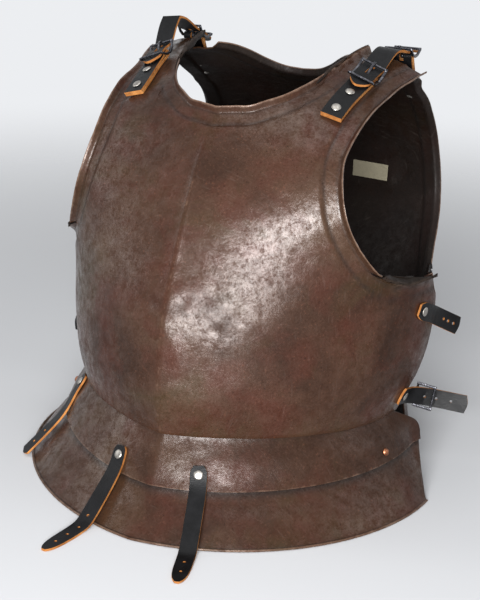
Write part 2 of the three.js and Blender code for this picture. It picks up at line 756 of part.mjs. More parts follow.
// The upper lame's lower edge lies at this step, and the lower lame goes on inside it.
const lameSeamStep = 0.4;
const nestedLift = -(lameThickness + nestGap);
const upperGrid = skirtGrid(
  frontSkirt, 1, skirtTable, frontColumns, [0, 0.3, 0.55, 0.75, 1], stepBetween(lameSeamStep, 1), () => 0, false,
);
const lowerTopStep = (share) => 0.455 + 0.115 * smoothStep(0.5, 0.78, share);
const lowerGrid = skirtGrid(
  frontSkirt, 1, skirtTable, frontColumns, [0, 0.12, 0.3, 0.46, 0.72, 1],
  (row, share) => row * lowerTopStep(share),
  (step) => nestedLift * smoothStep(0.18, 0.34, step), true,
);
const rearGrid = skirtGrid(
  rearSkirt, -1, rearSkirtTable, rearColumns, [0, 0.07, 0.35, 0.7, 1], stepBetween(0, 1), () => 0, true,
);
const breastplate = slabFromGrid(plateGrid(frontSkin, 1, frontOutline, 9, 11), -1, plateThickness);
const backplate = slabFromGrid(plateGrid(backSkin, -1, backOutline, 8, 9), 1, plateThickness);
const upperLame = skirtSlab(upperGrid, -1, false);
const lowerLame = skirtSlab(lowerGrid, -1, true);
const rearSkirtLame = skirtSlab(rearGrid, 1, true);

const frontPlate = { skin: frontSkin, facing: 1, body: breastplate };
const rearPlate = { skin: backSkin, facing: -1, body: backplate };
const frontLame = { skin: frontSkirt, facing: 1, body: upperLame };

// Depth from a rivet's seat to the far face of the last plate under it.
function gripThrough(plate, { point, across, out }) {
  const target = new THREE.Mesh(plate, new THREE.MeshBasicMaterial({ side: THREE.DoubleSide }));
  const inward = out.clone().negate();
  const sideways = out.clone().cross(across);
  let deepest = 0;
  for (let k = 0; k < roundSides; k += 1) {
    const angle = (2 * Math.PI * k) / roundSides;
    const from = point.clone().addScaledVector(across, rivetTailRadius * Math.cos(angle));
    from.addScaledVector(sideways, rivetTailRadius * Math.sin(angle)).addScaledVector(out, cutReach);
    const hits = new THREE.Raycaster(from, inward, 0, 3 * cutReach).intersectObject(target);
    for (const hit of hits) deepest = Math.max(deepest, hit.distance - cutReach);
  }
  return deepest;
}

// Folded tab: out along a plate, round the bar and back on top of itself.
function foldedTab(line, knee, bar) {
  const low = seatGap + leatherThickness / 2;
  const high = low + leatherThickness + layerGap;
  const wrap = barRadius + seatGap + leatherThickness / 2;
  const middle = spotOn(line, knee, (low + high) / 2).point;
  const toBar = bar.point.clone().sub(middle);
  toBar.addScaledVector(bar.across, -toBar.dot(bar.across)).normalize();
  const out = bar.across.clone().cross(toBar);
  const seats = [0, 1, 2, 3, 4].map((k) => (knee * k) / 4);
  const stations = seats.map((along) => spotOn(line, along, low));
  const turns = 6;
  for (let k = 0; k <= turns; k += 1) {
    const angle = -quarterTurn + (Math.PI * k) / turns;
    const point = bar.point.clone().addScaledVector(toBar, wrap * Math.cos(angle));
    stations.push({ point: point.addScaledVector(out, wrap * Math.sin(angle)), across: bar.across });
  }
  stations.push(...seats.reverse().map((along) => spotOn(line, along, high)));
  const wrapFrame = localFrame({ point: bar.point, across: bar.across, out });
  const slot = slotTool(wrapFrame, slotWidth, -ringReach, wrapReach);
  return { stations, slot };
}

function mirrored(line) {
  const flip = (vector) => new THREE.Vector3(-vector.x, vector.y, vector.z);
  return (along) => {
    const { point, out, across } = line(along);
    return { point: flip(point), out: flip(out), across: flip(across).negate() };
  };
}

const folded = 2 * leatherThickness + layerGap;
const slotWidth = prongWidth + 2 * slotGap;
const ringReach = barRadius + prongPlay + prongThickness + slotGap;
const wrapReach = barRadius + seatGap + leatherThickness + slotGap;
const holeRadius = rivetShankRadius + rivetHoleGap;
const cuts = { breastplate: [], backplate: [], upperLame: [], lowerLame: [], rearSkirt: [] };

function holeOn(line, along) {
  return holeTool(localFrame(spotOn(line, along, 0)), holeRadius);
}

function addRivet(name, spot, plate, look, headRadius, headRise) {
  const grip = gripThrough(plate, spot);
  return addPiece(name, placed(rivetGeometry(headRadius, headRise, grip), localFrame(spot)), look);
}

function addProng(name, bar, halfLength, bow) {
  const prong = addPiece(name, placed(prongGeometry(halfLength, bow), localFrame(bar)), gunmetal);
  prong.userData.axle = { point: bar.point.toArray(), axis: bar.across.toArray() };
}

function addBuckle(name, bar, halfWidth, halfLength, bow, withMiddle) {
  addPiece(name, placed(buckleGeometry(halfWidth, halfLength, bow, withMiddle), localFrame(bar)), gunmetal);
}

// Shoulders: a tab and buckle on each plate, and the strap between them.
const shoulders = [
  {
    side: 'left', way: 1, rearAcross: leftRearBarAcross, tipFall: 0.09,
    crestBack: lowCrestBack, crestLevel: lowCrestLevel, rearShares: [[0.535, 0.745], [0.505, 0.86]],
  },
  {
    side: 'right', way: -1, rearAcross: rightRearBarAcross, tipFall: 0.4,
    crestBack: highCrestBack, crestLevel: highCrestLevel, rearShares: [[0.5, 0.745], [0.47, 0.86]],
  },
];
const frontTabShares = [[0.378, 0.663], [0.447, 0.98]];

for (const { side, way, rearAcross, tipFall, crestBack, crestLevel, rearShares } of shoulders) {
  const sided = (line) => (way > 0 ? line : mirrored(line));
  const frontLine = sided(skinLine(frontPlate, shoulderStrapWidth / 2, ...frontTabShares));
  const barLift = barRadius + seatGap + leatherThickness + seatGap;
  const frontBar = spotOn(frontLine, frontBarAlong, barLift);
  const tab = foldedTab(frontLine, frontKneeAlong, frontBar);
  const frontHoles = [frontRivetAlong, frontRivetAlong + frontRivetPitch];
  const half = shoulderStrapWidth / 2;
  addPiece(`front_tab_${side}`, cutBy(
    bandGeometry(tab.stations, half), [tab.slot, ...frontHoles.map((along) => holeOn(frontLine, along))],
  ), leatherBlack);
  frontHoles.forEach((along, index) => {
    const seat = spotOn(frontLine, along, 2 * seatGap + folded);
    addRivet(`front_tab_rivet_${side}_${index + 1}`, seat, breastplate, nickel, rivetHeadRadius, rivetHeadRise);
    cuts.breastplate.push(holeOn(frontLine, along));
  });
  addBuckle(`front_buckle_${side}`, frontBar, half, buckleHalfLength, buckleBow, true);
  addProng(`front_prong_${side}`, frontBar, buckleHalfLength, buckleBow);

  // The rear buckle is level across, with its middle bar on the line that the backplate swings on.
  const tipward = new THREE.Vector3(0, Math.cos(tipFall), -Math.sin(tipFall));
  const rearOut = new THREE.Vector3(0, Math.sin(tipFall), Math.cos(tipFall));
  const rearBar = {
    point: new THREE.Vector3(way * rearAcross, hingeBack, hingeLevel),
    across: rearOut.clone().cross(tipward),
    out: rearOut,
  };
  addBuckle(`rear_buckle_${side}`, rearBar, half, buckleHalfLength, buckleBow, true);
  addProng(`rear_prong_${side}`, rearBar, buckleHalfLength, buckleBow);
  const rearLine = sided(skinLine(rearPlate, shoulderStrapWidth / 2, ...rearShares));
  const rearTab = foldedTab(rearLine, rearKneeAlong, rearBar);
  const rearHoles = [rearRivetAlong, rearRivetAlong + rearRivetPitch];
  addPiece(`rear_tab_${side}`, cutBy(
    bandGeometry(rearTab.stations, half), [rearTab.slot, ...rearHoles.map((along) => holeOn(rearLine, along))],
  ), leatherBlack);
  rearHoles.forEach((along, index) => {
    const seat = spotOn(rearLine, along, 2 * seatGap + folded);
    addRivet(`rear_tab_rivet_${side}_${index + 1}`, seat, backplate, nickel, rivetHeadRadius, rivetHeadRise);
    cuts.backplate.push(holeOn(rearLine, along));
  });

  // The strap passes over each middle bar and under the outer bars on both sides of it.
  const overBar = barRadius + 2 * seatGap + 1.5 * leatherThickness;
  const underBar = buckleBow - barRadius - strapPlay - leatherThickness / 2;
  const barPass = buckleHalfLength - 2 * barRadius;
  const level = new THREE.Vector3(1, 0, 0);
  const frontAt = (along, lift) => spotOn(frontLine, frontBarAlong + along, barLift + lift);
  const rearAt = (along, lift) => ({
    point: rearBar.point.clone().addScaledVector(tipward, along).addScaledVector(rearOut, lift),
    across: level,
  });
  const runOut = buckleHalfLength + 2 * barRadius;
  const crest = new THREE.Vector3(frontAt(runOut, underBar).point.x, crestBack, crestLevel);
  crest.x = (crest.x + rearBar.point.x) / 2;
  const curve = new THREE.CatmullRomCurve3([
    frontAt(buckleHalfLength, underBar).point, frontAt(runOut, underBar).point, crest,
    rearAt(-runOut, underBar).point, rearAt(-buckleHalfLength, underBar).point,
  ]);
  const arch = curve.getPoints(12).slice(1, -1).map((point, k) => {
    const turned = Math.min(1, Math.max(0, (k - 2) / 5));
    return { point, across: frontBar.across.clone().lerp(level, turned).normalize() };
  });
  const stations = [
    frontAt(frontTipAlong - frontBarAlong, underBar),
    frontAt(frontTipAlong - frontBarAlong + strapPointLength, underBar),
    frontAt(-buckleHalfLength, underBar),
    frontAt(-barPass, underBar),
    frontAt(-ringReach, overBar),
    frontAt(ringReach, overBar),
    frontAt(barPass, underBar),
    frontAt(buckleHalfLength, underBar),
    ...arch,
    rearAt(-buckleHalfLength, underBar),
    rearAt(-barPass, underBar),
    rearAt(-ringReach, overBar),
    rearAt(ringReach, overBar),
    rearAt(barPass, underBar),
    rearAt(buckleHalfLength, underBar),
    rearAt(buckleHalfLength + rearTipLength - strapPointLength, underBar),
    rearAt(buckleHalfLength + rearTipLength, underBar),
  ];
  const taper = (index) => (index === 0 || index === stations.length - 1 ? pointShare : 1);
  const slotEnd = buckleHalfLength - barRadius;
  addPiece(`shoulder_strap_${side}`, cutBy(bandGeometry(stations, half, taper), [
    slotTool(localFrame(frontBar), slotWidth, -ringReach, slotEnd),
    slotTool(localFrame(rearBar), slotWidth, -ringReach, slotEnd),
  ]), leatherBlack);
}

// Domed rivets that the lower lame swings on, one at each side.
const lobeShares = [0.815, 0.49];
for (const [side, way] of [['left', 1], ['right', -1]]) {
  const { point, normal } = onSkin(frontSkirt, 1, way * lobeShares[0] * quarterTurn, lobeShares[1], 0);
  const across = new THREE.Vector3(0, 0, 1).cross(normal).normalize();
  const seat = { point, across, out: normal };
  const rivet = addRivet(`skirt_rivet_${side}`, seat, lowerLame, copper, lobeRivetHeadRadius, lobeRivetHeadRise);
  rivet.userData.axle = { point: point.toArray(), axis: [1, 0, 0] };
  cuts.upperLame.push(holeTool(localFrame(seat), holeRadius));
  cuts.lowerLame.push(holeTool(localFrame(seat), holeRadius));
}

// Rivets that hold the rear skirt inside the backplate's lower edge.
const rearRivetShares = [0.72, 0.017];
for (const [side, way] of [['left', 1], ['right', -1]]) {
  const { point, normal } = onSkin(backSkin, -1, way * rearRivetShares[0] * quarterTurn, rearRivetShares[1], 0);
  const across = new THREE.Vector3(0, 0, 1).cross(normal).normalize();
  const seat = { point, across, out: normal };
  addRivet(`rear_skirt_rivet_${side}`, seat, rearSkirtLame, nickel, rivetHeadRadius, rivetHeadRise);
  cuts.backplate.push(holeTool(localFrame(seat), holeRadius));
  cuts.rearSkirt.push(holeTool(localFrame(seat), holeRadius));
}

// Side straps riveted to the breastplate's sides, with free ends that point back and out.
const sideHalf = sideStrapWidth / 2;
const strapLift = seatGap + leatherThickness / 2;
const sideStraps = [
  {
    level: 'upper', shares: [[0.85, 0.243], [1, 0.215]], seated: upperStrapSeat,
    tip: [upperTipAcross, upperTipBack, upperTipLevel],
  },
  {
    level: 'lower', shares: [[0.92, 0.045], [1, 0.036]], seated: lowerStrapSeat,
    tip: [lowerTipAcross, lowerTipBack, lowerTipLevel],
  },
];

function addSideStrap(side, way, { level, shares, seated: edgeAlong, tip }) {
  const plain = skinLine(frontPlate, sideHalf, ...shares);
  const line = way > 0 ? plain : mirrored(plain);
  const seatSteps = 6;
  const marks = [0];
  for (let k = 1; k <= seatSteps; k += 1) marks.push((edgeAlong * k) / seatSteps);
  const seated = marks.map((along) => spotOn(line, along, strapLift));
  const leave = seated[seated.length - 1];
  const forward = line(edgeAlong).out.clone().cross(line(edgeAlong).across);
  const end = new THREE.Vector3(way * tip[0], tip[1], tip[2]);
  const length = end.distanceTo(leave.point);
  const curve = new THREE.QuadraticBezierCurve3(
    leave.point, leave.point.clone().addScaledVector(forward, length * leaveShare), end,
  );
  const steps = 6;
  const free = curve.getPoints(steps).slice(1).map((point) => ({ point, across: leave.across }));
  const tipStart = free[steps - 1].point.clone().lerp(free[steps - 2].point, strapPointLength / length);
  free.splice(steps - 1, 0, { point: tipStart, across: leave.across });
  const stations = [...seated, ...free];
  const taper = (index) => {
    if (index === 0) return roundedEndShare;
    return index === stations.length - 1 ? pointShare : 1;
  };
  const holes = [holeOn(line, strapEndMargin)];
  for (const share of punchShares) {
    const point = curve.getPoint(share);
    const tangent = curve.getTangent(share);
    const out = leave.across.clone().cross(tangent).normalize();
    holes.push(holeTool(localFrame({ point, across: tangent.clone().cross(out).normalize(), out }), punchRadius));
  }
  addPiece(`side_strap_${side}_${level}`, cutBy(bandGeometry(stations, sideHalf, taper), holes), leatherBlack);
  const seat = spotOn(line, strapEndMargin, 2 * seatGap + leatherThickness);
  const rivet = addRivet(
    `side_strap_rivet_${side}_${level}`, seat, breastplate, nickel, rivetHeadRadius, rivetHeadRise,
  );
  rivet.userData.axle = { point: seat.point.toArray(), axis: seat.out.toArray() };
  cuts.breastplate.push(holeOn(line, strapEndMargin));
  return { curve, across: leave.across };
}

for (const [side, way] of [['left', 1], ['right', -1]]) {
  for (const strap of sideStraps) {
    const { curve, across } = addSideStrap(side, way, strap);
    if (side === 'left' && strap.level === 'lower') {
      const tangent = curve.getTangent(looseBuckleShare);
      const out = across.clone().cross(tangent).normalize();
      const point = curve.getPoint(looseBuckleShare);
      const turned = tangent.clone().cross(out).normalize();
      const tilt = Math.asin((leatherThickness / 2 + barRadius + looseGap) / sideBuckleHalfLength);
      const tilted = out.clone().applyAxisAngle(turned, tilt);
      addBuckle('loose_buckle', { point, across: turned, out: tilted }, sideHalf, sideBuckleHalfLength, 0, false);
    }
  }
}

// Side tabs and buckles on the backplate's side edges.
const sideTabs = [
  { name: 'left_upper', way: 1, shares: [[0.86, 0.19], [1, 0.19]] },
  { name: 'right_upper', way: -1, shares: [[0.86, 0.19], [1, 0.19]] },
  { name: 'right_lower', way: -1, shares: [[0.86, 0.05], [1, 0.05]] },
];
for (const { name, way, shares } of sideTabs) {
  const plain = skinLine(rearPlate, sideHalf, ...shares);
  const line = way > 0 ? plain : mirrored(plain);
  const edge = backSkin(shares[1][0] * quarterTurn, shares[1][1]);
  const edgeAlong = edge.distanceTo(backSkin(shares[0][0] * quarterTurn, shares[0][1]));
  const barLift = barRadius + seatGap + leatherThickness + seatGap;
  const bar = spotOn(line, edgeAlong + sideTabBarBeyond, barLift);
  const tab = foldedTab(line, sideTabKneeAlong, bar);
  addPiece(`side_tab_${name}`, cutBy(bandGeometry(tab.stations, sideHalf), [
    tab.slot, holeOn(line, sideTabRivetAlong),
  ]), leatherBlack);
  const seat = spotOn(line, sideTabRivetAlong, 2 * seatGap + folded);
  addRivet(`side_tab_rivet_${name}`, seat, backplate, nickel, rivetHeadRadius, rivetHeadRise);
  cuts.backplate.push(holeOn(line, sideTabRivetAlong));
  addBuckle(`side_buckle_${name}`, bar, sideHalf, sideBuckleHalfLength, sideBuckleBow, true);
  addProng(`side_prong_${name}`, bar, sideBuckleHalfLength, sideBuckleBow);
}

// Straps that hang from the upper lame over the hem to the table.
const tassetHalf = tassetStrapWidth / 2;
const tassets = [
  { name: 'left', way: 1, shares: [[0.143, 0.58], [0.155, 0.4]], tip: [leftTassetAcross, leftTassetFront], punches: 2 },
  { name: 'right', way: -1, shares: [[0.149, 0.58], [0.144, 0.4]], tip: [rightTassetAcross, rightTassetFront], punches: 4 },
  { name: 'outer', way: -1, shares: [[0.62, 0.76], [0.603, 0.4]], tip: [outerTassetAcross, outerTassetFront], punches: 2 },
];
for (const { name, way, shares, tip, punches } of tassets) {
  const plain = skinLine(frontLame, tassetHalf, ...shares);
  const line = way > 0 ? plain : mirrored(plain);
  const top = frontSkirt(shares[0][0] * quarterTurn, shares[0][1]);
  const seatLength = top.distanceTo(frontSkirt(shares[1][0] * quarterTurn, shares[1][1]));
  const marks = [0, strapPointLength / 2, seatLength / 2, seatLength];
  const seated = marks.map((along) => spotOn(line, along, strapLift));
  const leave = seated[seated.length - 1];
  const floor = leatherThickness / 2 + tassetFloorGap;
  const end = new THREE.Vector3(way * tip[0], -tip[1], floor);
  const plan = new THREE.Vector3(end.x - leave.point.x, end.y - leave.point.y, 0);
  const across = plan.clone().normalize().cross(new THREE.Vector3(0, 0, 1));
  // Where the strap clears the hem, and where it lies down on the table.
  const hemReach = hemClear(leave.point, plan.clone().normalize());
  const planLength = plan.length();
  const landing = Math.min(hemReach + tassetBend, planLength - strapPointLength);
  const at = (reach, level) => ({
    point: new THREE.Vector3(leave.point.x, leave.point.y, level).addScaledVector(plan, reach / planLength), across,
  });
  const free = [
    at(hemReach * 0.5, leave.point.z + (hemLift - leave.point.z) * 0.5),
    at(hemReach, hemLift),
  ];
  if (planLength - hemReach > 2 * tassetBend) {
    free.push(at(landing, floor), at(planLength - strapPointLength, floor));
  }
  free.push(at(planLength, floor));
  const stations = [...seated, ...free];
  const taper = (index) => {
    if (index === 0) return roundedEndShare;
    return index === stations.length - 1 ? pointShare : 1;
  };
  const holes = [holeOn(line, strapEndMargin)];
  for (let k = 0; k < punches; k += 1) {
    const spot = punchSpot(stations, strapEndMargin + strapPointLength + k * punchPitch);
    holes.push(holeTool(localFrame(spot), punchRadius));
  }
  addPiece(`tasset_strap_${name}`, cutBy(bandGeometry(stations, tassetHalf, taper), holes), leatherBlack);
  const seat = spotOn(line, strapEndMargin, 2 * seatGap + leatherThickness);
  const rivet = addRivet(`tasset_rivet_${name}`, seat, upperLame, nickel, rivetHeadRadius, rivetHeadRise);
  rivet.userData.axle = { point: seat.point.toArray(), axis: seat.out.toArray() };
  cuts.upperLame.push(holeOn(line, strapEndMargin));
}

// How far a strap runs over the skirt before it is clear of the hem's bead.
function hemClear(from, direction) {
  const reachStep = 1;
  let reach = 0;
  const clear = hemBead + seatGap + leatherThickness;
  const inside = (point) => {
    const width = hemHalfWidth + clear;
    const depth = hemDepth + clear;
    return (point.x / width) ** 2 + (point.y / depth) ** 2 < 1;
  };
  while (inside(from.clone().addScaledVector(direction, reach))) reach += reachStep;
  return reach;
}

// Middle of a band, a distance back from its tip.
function punchSpot(stations, fromTip) {
  let left = fromTip;
  for (let k = stations.length - 1; k > 0; k -= 1) {
    const here = stations[k].point;
    const length = here.distanceTo(stations[k - 1].point);
    if (left <= length) {
      const tangent = here.clone().sub(stations[k - 1].point).normalize();
      const out = stations[k].across.clone().cross(tangent).normalize();
      const point = here.clone().addScaledVector(tangent, -left);
      return { point, across: tangent.clone().cross(out).normalize(), out };
    }
    left -= length;
  }
  return null;
}

// A bare tag on the inside of the backplate.
const labelGirthShare = 0.465;
const tagBack = new THREE.Mesh(backplate, new THREE.MeshBasicMaterial({ side: THREE.DoubleSide }));
const labelGrid = (lift) => [-0.5, 0.5].map((up) => [-0.5, 0, 0.5].map((across) => {
  const angle = Math.asin((labelAside + across * labelLength) / backHalfWidth);
  const girth = labelGirthShare + (up * labelHeight) / backGirth;
  const { point, normal } = onSkin(backSkin, -1, angle, girth, -labelHeight);
  const [face] = new THREE.Raycaster(point, normal).intersectObject(tagBack);
  return face.point.addScaledVector(normal, -lift);
}));
addPiece('inner_tag', slabGeometry(labelGrid(seatGap), labelGrid(seatGap + labelThickness)), labelTan);

addPiece('breastplate', cutBy(breastplate, cuts.breastplate), steelBrown);
addPiece('backplate', cutBy(backplate, cuts.backplate), steelBrown);
addPiece('fauld_upper_lame', cutBy(upperLame, cuts.upperLame), steelBrown);
addPiece('fauld_lower_lame', cutBy(lowerLame, cuts.lowerLame), steelBrown);
addPiece('rear_skirt_lame', cutBy(rearSkirtLame, cuts.rearSkirt), steelDark);

// The origin is the middle of the footprint, on the table.
const footprint = new THREE.Box3().setFromObject(cuirass).getCenter(new THREE.Vector3());
cuirass.position.set(-footprint.x, -footprint.y, 0);

export default cuirass;
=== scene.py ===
import json
import math
import random

import bmesh
import bpy
from mathutils import Matrix, Vector, noise
from mathutils.bvhtree import BVHTree
from mathutils.kdtree import KDTree


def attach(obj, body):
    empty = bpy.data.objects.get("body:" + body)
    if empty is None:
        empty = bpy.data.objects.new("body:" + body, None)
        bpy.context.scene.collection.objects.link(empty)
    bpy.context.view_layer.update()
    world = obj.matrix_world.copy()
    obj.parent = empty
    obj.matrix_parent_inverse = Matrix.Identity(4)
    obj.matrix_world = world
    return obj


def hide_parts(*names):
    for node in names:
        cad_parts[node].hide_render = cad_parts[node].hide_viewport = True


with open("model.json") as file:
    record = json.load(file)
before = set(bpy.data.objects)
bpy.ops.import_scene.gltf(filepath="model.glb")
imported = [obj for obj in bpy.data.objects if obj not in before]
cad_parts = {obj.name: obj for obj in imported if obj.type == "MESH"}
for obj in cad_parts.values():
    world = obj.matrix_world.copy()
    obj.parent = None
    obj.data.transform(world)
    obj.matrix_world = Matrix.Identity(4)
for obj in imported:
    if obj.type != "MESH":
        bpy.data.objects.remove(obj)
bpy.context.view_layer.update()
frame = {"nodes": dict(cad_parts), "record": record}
record = frame["record"]
bodyOf = {node: body for body, nodes in record["behaviour"]["bodies"].items() for node in nodes}
slotOf = {part["node"]: part["material_slot"] for part in record["subparts"]}
random.seed(11)
mm = 0.001
originBack = 0.0394722  # the footprint's middle lies this far in front of the plates' own zero

# camera, floor and light
photoCamera = {
    "azimuth": 25.87, "elevation": 19.45, "roll": 1.73, "distance": 1.7, "lens": 74.19,
    "target": (-0.10175, 0.24493, 0.11009),
}


def makeCamera(look):
    turn, rise, roll = (math.radians(look[key]) for key in ("azimuth", "elevation", "roll"))
    back = Vector((math.sin(turn) * math.cos(rise), -math.cos(turn) * math.cos(rise), math.sin(rise)))
    right = (-back).cross(Vector((0, 0, 1))).normalized()
    up = right.cross(-back)
    acrossView = right * math.cos(roll) + up * math.sin(roll)
    upView = up * math.cos(roll) - right * math.sin(roll)
    data = bpy.data.cameras.new("photoCamera")
    data.lens = look["lens"]
    data.sensor_width = 36
    data.clip_end = 50
    camera = bpy.data.objects.new("photoCamera", data)
    bpy.context.scene.collection.objects.link(camera)
    place = Matrix((acrossView, upView, back)).transposed().to_4x4()
    place.translation = Vector(look["target"]) + back * look["distance"]
    camera.matrix_world = place
    bpy.context.scene.camera = camera


makeCamera(photoCamera)
studio = {
    "floorColour": (0.56, 0.568, 0.585), "backColour": (0.84, 0.855, 0.88), "worldStrength": 0.2,
    "aim": (0.0, 0.0, 0.27),
    "lamps": [
        # azimuth, elevation, distance, width, height, watts
        (18, 10, 2.3, 1.05, 0.95, 140),
        (-72, 22, 2.2, 0.5, 1.6, 9),
        (104, 28, 2.2, 0.9, 1.3, 5),
        (10, 84, 2.2, 1.5, 1.5, 17),
    ],
}


def shaderNode(tree, kind, **values):
    node = tree.nodes.new(kind)
    for key, value in values.items():
        if hasattr(node, key):
            setattr(node, key, value)
        else:
            node.inputs[key.replace("_", " ")].default_value = value
    return node


def makeStage(look):
    mesh = bpy.data.meshes.new("studioFloor")
    bm = bmesh.new()
    bmesh.ops.create_grid(bm, x_segments=2, y_segments=2, size=12)
    bm.to_mesh(mesh)
    bm.free()
    floor = bpy.data.objects.new("studioFloor", mesh)
    bpy.context.scene.collection.objects.link(floor)
    floor.location.z = -0.0002
    material = bpy.data.materials.new("studioFloor")
    material.use_nodes = True
    tree = material.node_tree
    surface = tree.nodes["Principled BSDF"]
    surface.inputs["Base Color"].default_value = (*look["floorColour"], 1)
    surface.inputs["Roughness"].default_value = 0.9
    surface.inputs["Specular IOR Level"].default_value = 0.1
    coords = tree.nodes.new("ShaderNodeTexCoord")
    away = shaderNode(tree, "ShaderNodeVectorMath", operation="LENGTH")
    tree.links.new(coords.outputs["Object"], away.inputs[0])
    fade = shaderNode(tree, "ShaderNodeMapRange", From_Min=0.45, From_Max=2.4, To_Min=1.0, To_Max=0.0)
    fade.interpolation_type = "SMOOTHSTEP"
    tree.links.new(away.outputs["Value"], fade.inputs["Value"])
    tree.links.new(fade.outputs["Result"], surface.inputs["Alpha"])
    mesh.materials.append(material)
    world = bpy.data.worlds.new("studio")
    bpy.context.scene.world = world
    world.use_nodes = True
    tree = world.node_tree
    tree.nodes.clear()
    output = tree.nodes.new("ShaderNodeOutputWorld")
    lit = shaderNode(tree, "ShaderNodeBackground", Color=(0.95, 0.97, 1, 1), Strength=look["worldStrength"])
    seen = shaderNode(tree, "ShaderNodeBackground", Color=(*look["backColour"], 1), Strength=1)
    rays = tree.nodes.new("ShaderNodeLightPath")
    either = shaderNode(tree, "ShaderNodeMath", operation="MAXIMUM")
    shown = shaderNode(tree, "ShaderNodeMath", operation="MAXIMUM")
    mixed = tree.nodes.new("ShaderNodeMixShader")
    tree.links.new(rays.outputs["Is Camera Ray"], either.inputs[0])
    tree.links.new(rays.outputs["Is Transmission Ray"], either.inputs[1])
    tree.links.new(either.outputs[0], shown.inputs[0])
    tree.links.new(rays.outputs["Is Glossy Ray"], shown.inputs[1])
    tree.links.new(shown.outputs[0], mixed.inputs[0])
    tree.links.new(lit.outputs[0], mixed.inputs[1])
    tree.links.new(seen.outputs[0], mixed.inputs[2])
    tree.links.new(mixed.outputs[0], output.inputs[0])
    aim = Vector(look["aim"])
    for azimuth, elevation, distance, width, height, watts in look["lamps"]:
        turn, rise = math.radians(azimuth), math.radians(elevation)
        away = Vector((math.sin(turn) * math.cos(rise), -math.cos(turn) * math.cos(rise), math.sin(rise)))
        lamp = bpy.data.lights.new("softbox", "AREA")
        lamp.shape = "RECTANGLE"
        lamp.size, lamp.size_y = width, height
        lamp.energy = watts
        holder = bpy.data.objects.new("softbox", lamp)
        bpy.context.scene.collection.objects.link(holder)
        holder.location = aim + away * distance
        holder.rotation_euler = (-away).to_track_quat("-Z", "Y").to_euler()


makeStage(studio)
bpy.context.scene.view_settings.view_transform = "Standard"
print("camera, floor and light are set")


# shared shader groups
def makeGroup(name, inputs, outputs):
    group = bpy.data.node_groups.new(name, "ShaderNodeTree")
    for label, kind, value in inputs:
        socket = group.interface.new_socket(name=label, in_out="INPUT", socket_type=kind)
        if value is not None:
            socket.default_value = value
    for label, kind in outputs:
        group.interface.new_socket(name=label, in_out="OUTPUT", socket_type=kind)
    return group, group.nodes.new("NodeGroupInput"), group.nodes.new("NodeGroupOutput")


def ramp(tree, source, stops):
    node = tree.nodes.new("ShaderNodeValToRGB")
    marks = node.color_ramp.elements
    while len(marks) < len(stops):
        marks.new(0.5)
    for mark, (place, colour) in zip(marks, stops):
        mark.position = place
        mark.color = (*colour, 1) if len(colour) == 3 else colour
    tree.links.new(source, node.inputs[0])
    return node.outputs["Color"]


def mapRange(tree, source, low, high, newLow, newHigh):
    node = shaderNode(tree, "ShaderNodeMapRange", From_Min=low, From_Max=high, To_Min=newLow, To_Max=newHigh)
    tree.links.new(source, node.inputs["Value"])
    return node.outputs["Result"]


def blendColour(tree, factor, first, second, mode="MIX"):
    node = tree.nodes.new("ShaderNodeMix")
    node.data_type = "RGBA"
    node.blend_type = mode
    for socket, value in ((0, factor), (6, first), (7, second)):
        if isinstance(value, (int, float)):
            node.inputs[socket].default_value = value
        elif isinstance(value, tuple):
            node.inputs[socket].default_value = (*value, 1)
        else:
            tree.links.new(value, node.inputs[socket])
    return node.outputs[2]


def calculate(tree, operation, first, second=None):
    node = shaderNode(tree, "ShaderNodeMath", operation=operation)
    for socket, value in ((0, first), (1, second)):
        if value is None:
            continue
        if isinstance(value, (int, float)):
            node.inputs[socket].default_value = value
        else:
            tree.links.new(value, node.inputs[socket])
    return node.outputs[0]


def noiseAt(tree, vector, scale, detail=6.0, roughness=0.55, distortion=0.0):
    node = shaderNode(tree, "ShaderNodeTexNoise", Scale=scale, Detail=detail, Roughness=roughness,
                      Distortion=distortion)
    tree.links.new(vector, node.inputs["Vector"])
    return node.outputs["Fac"]


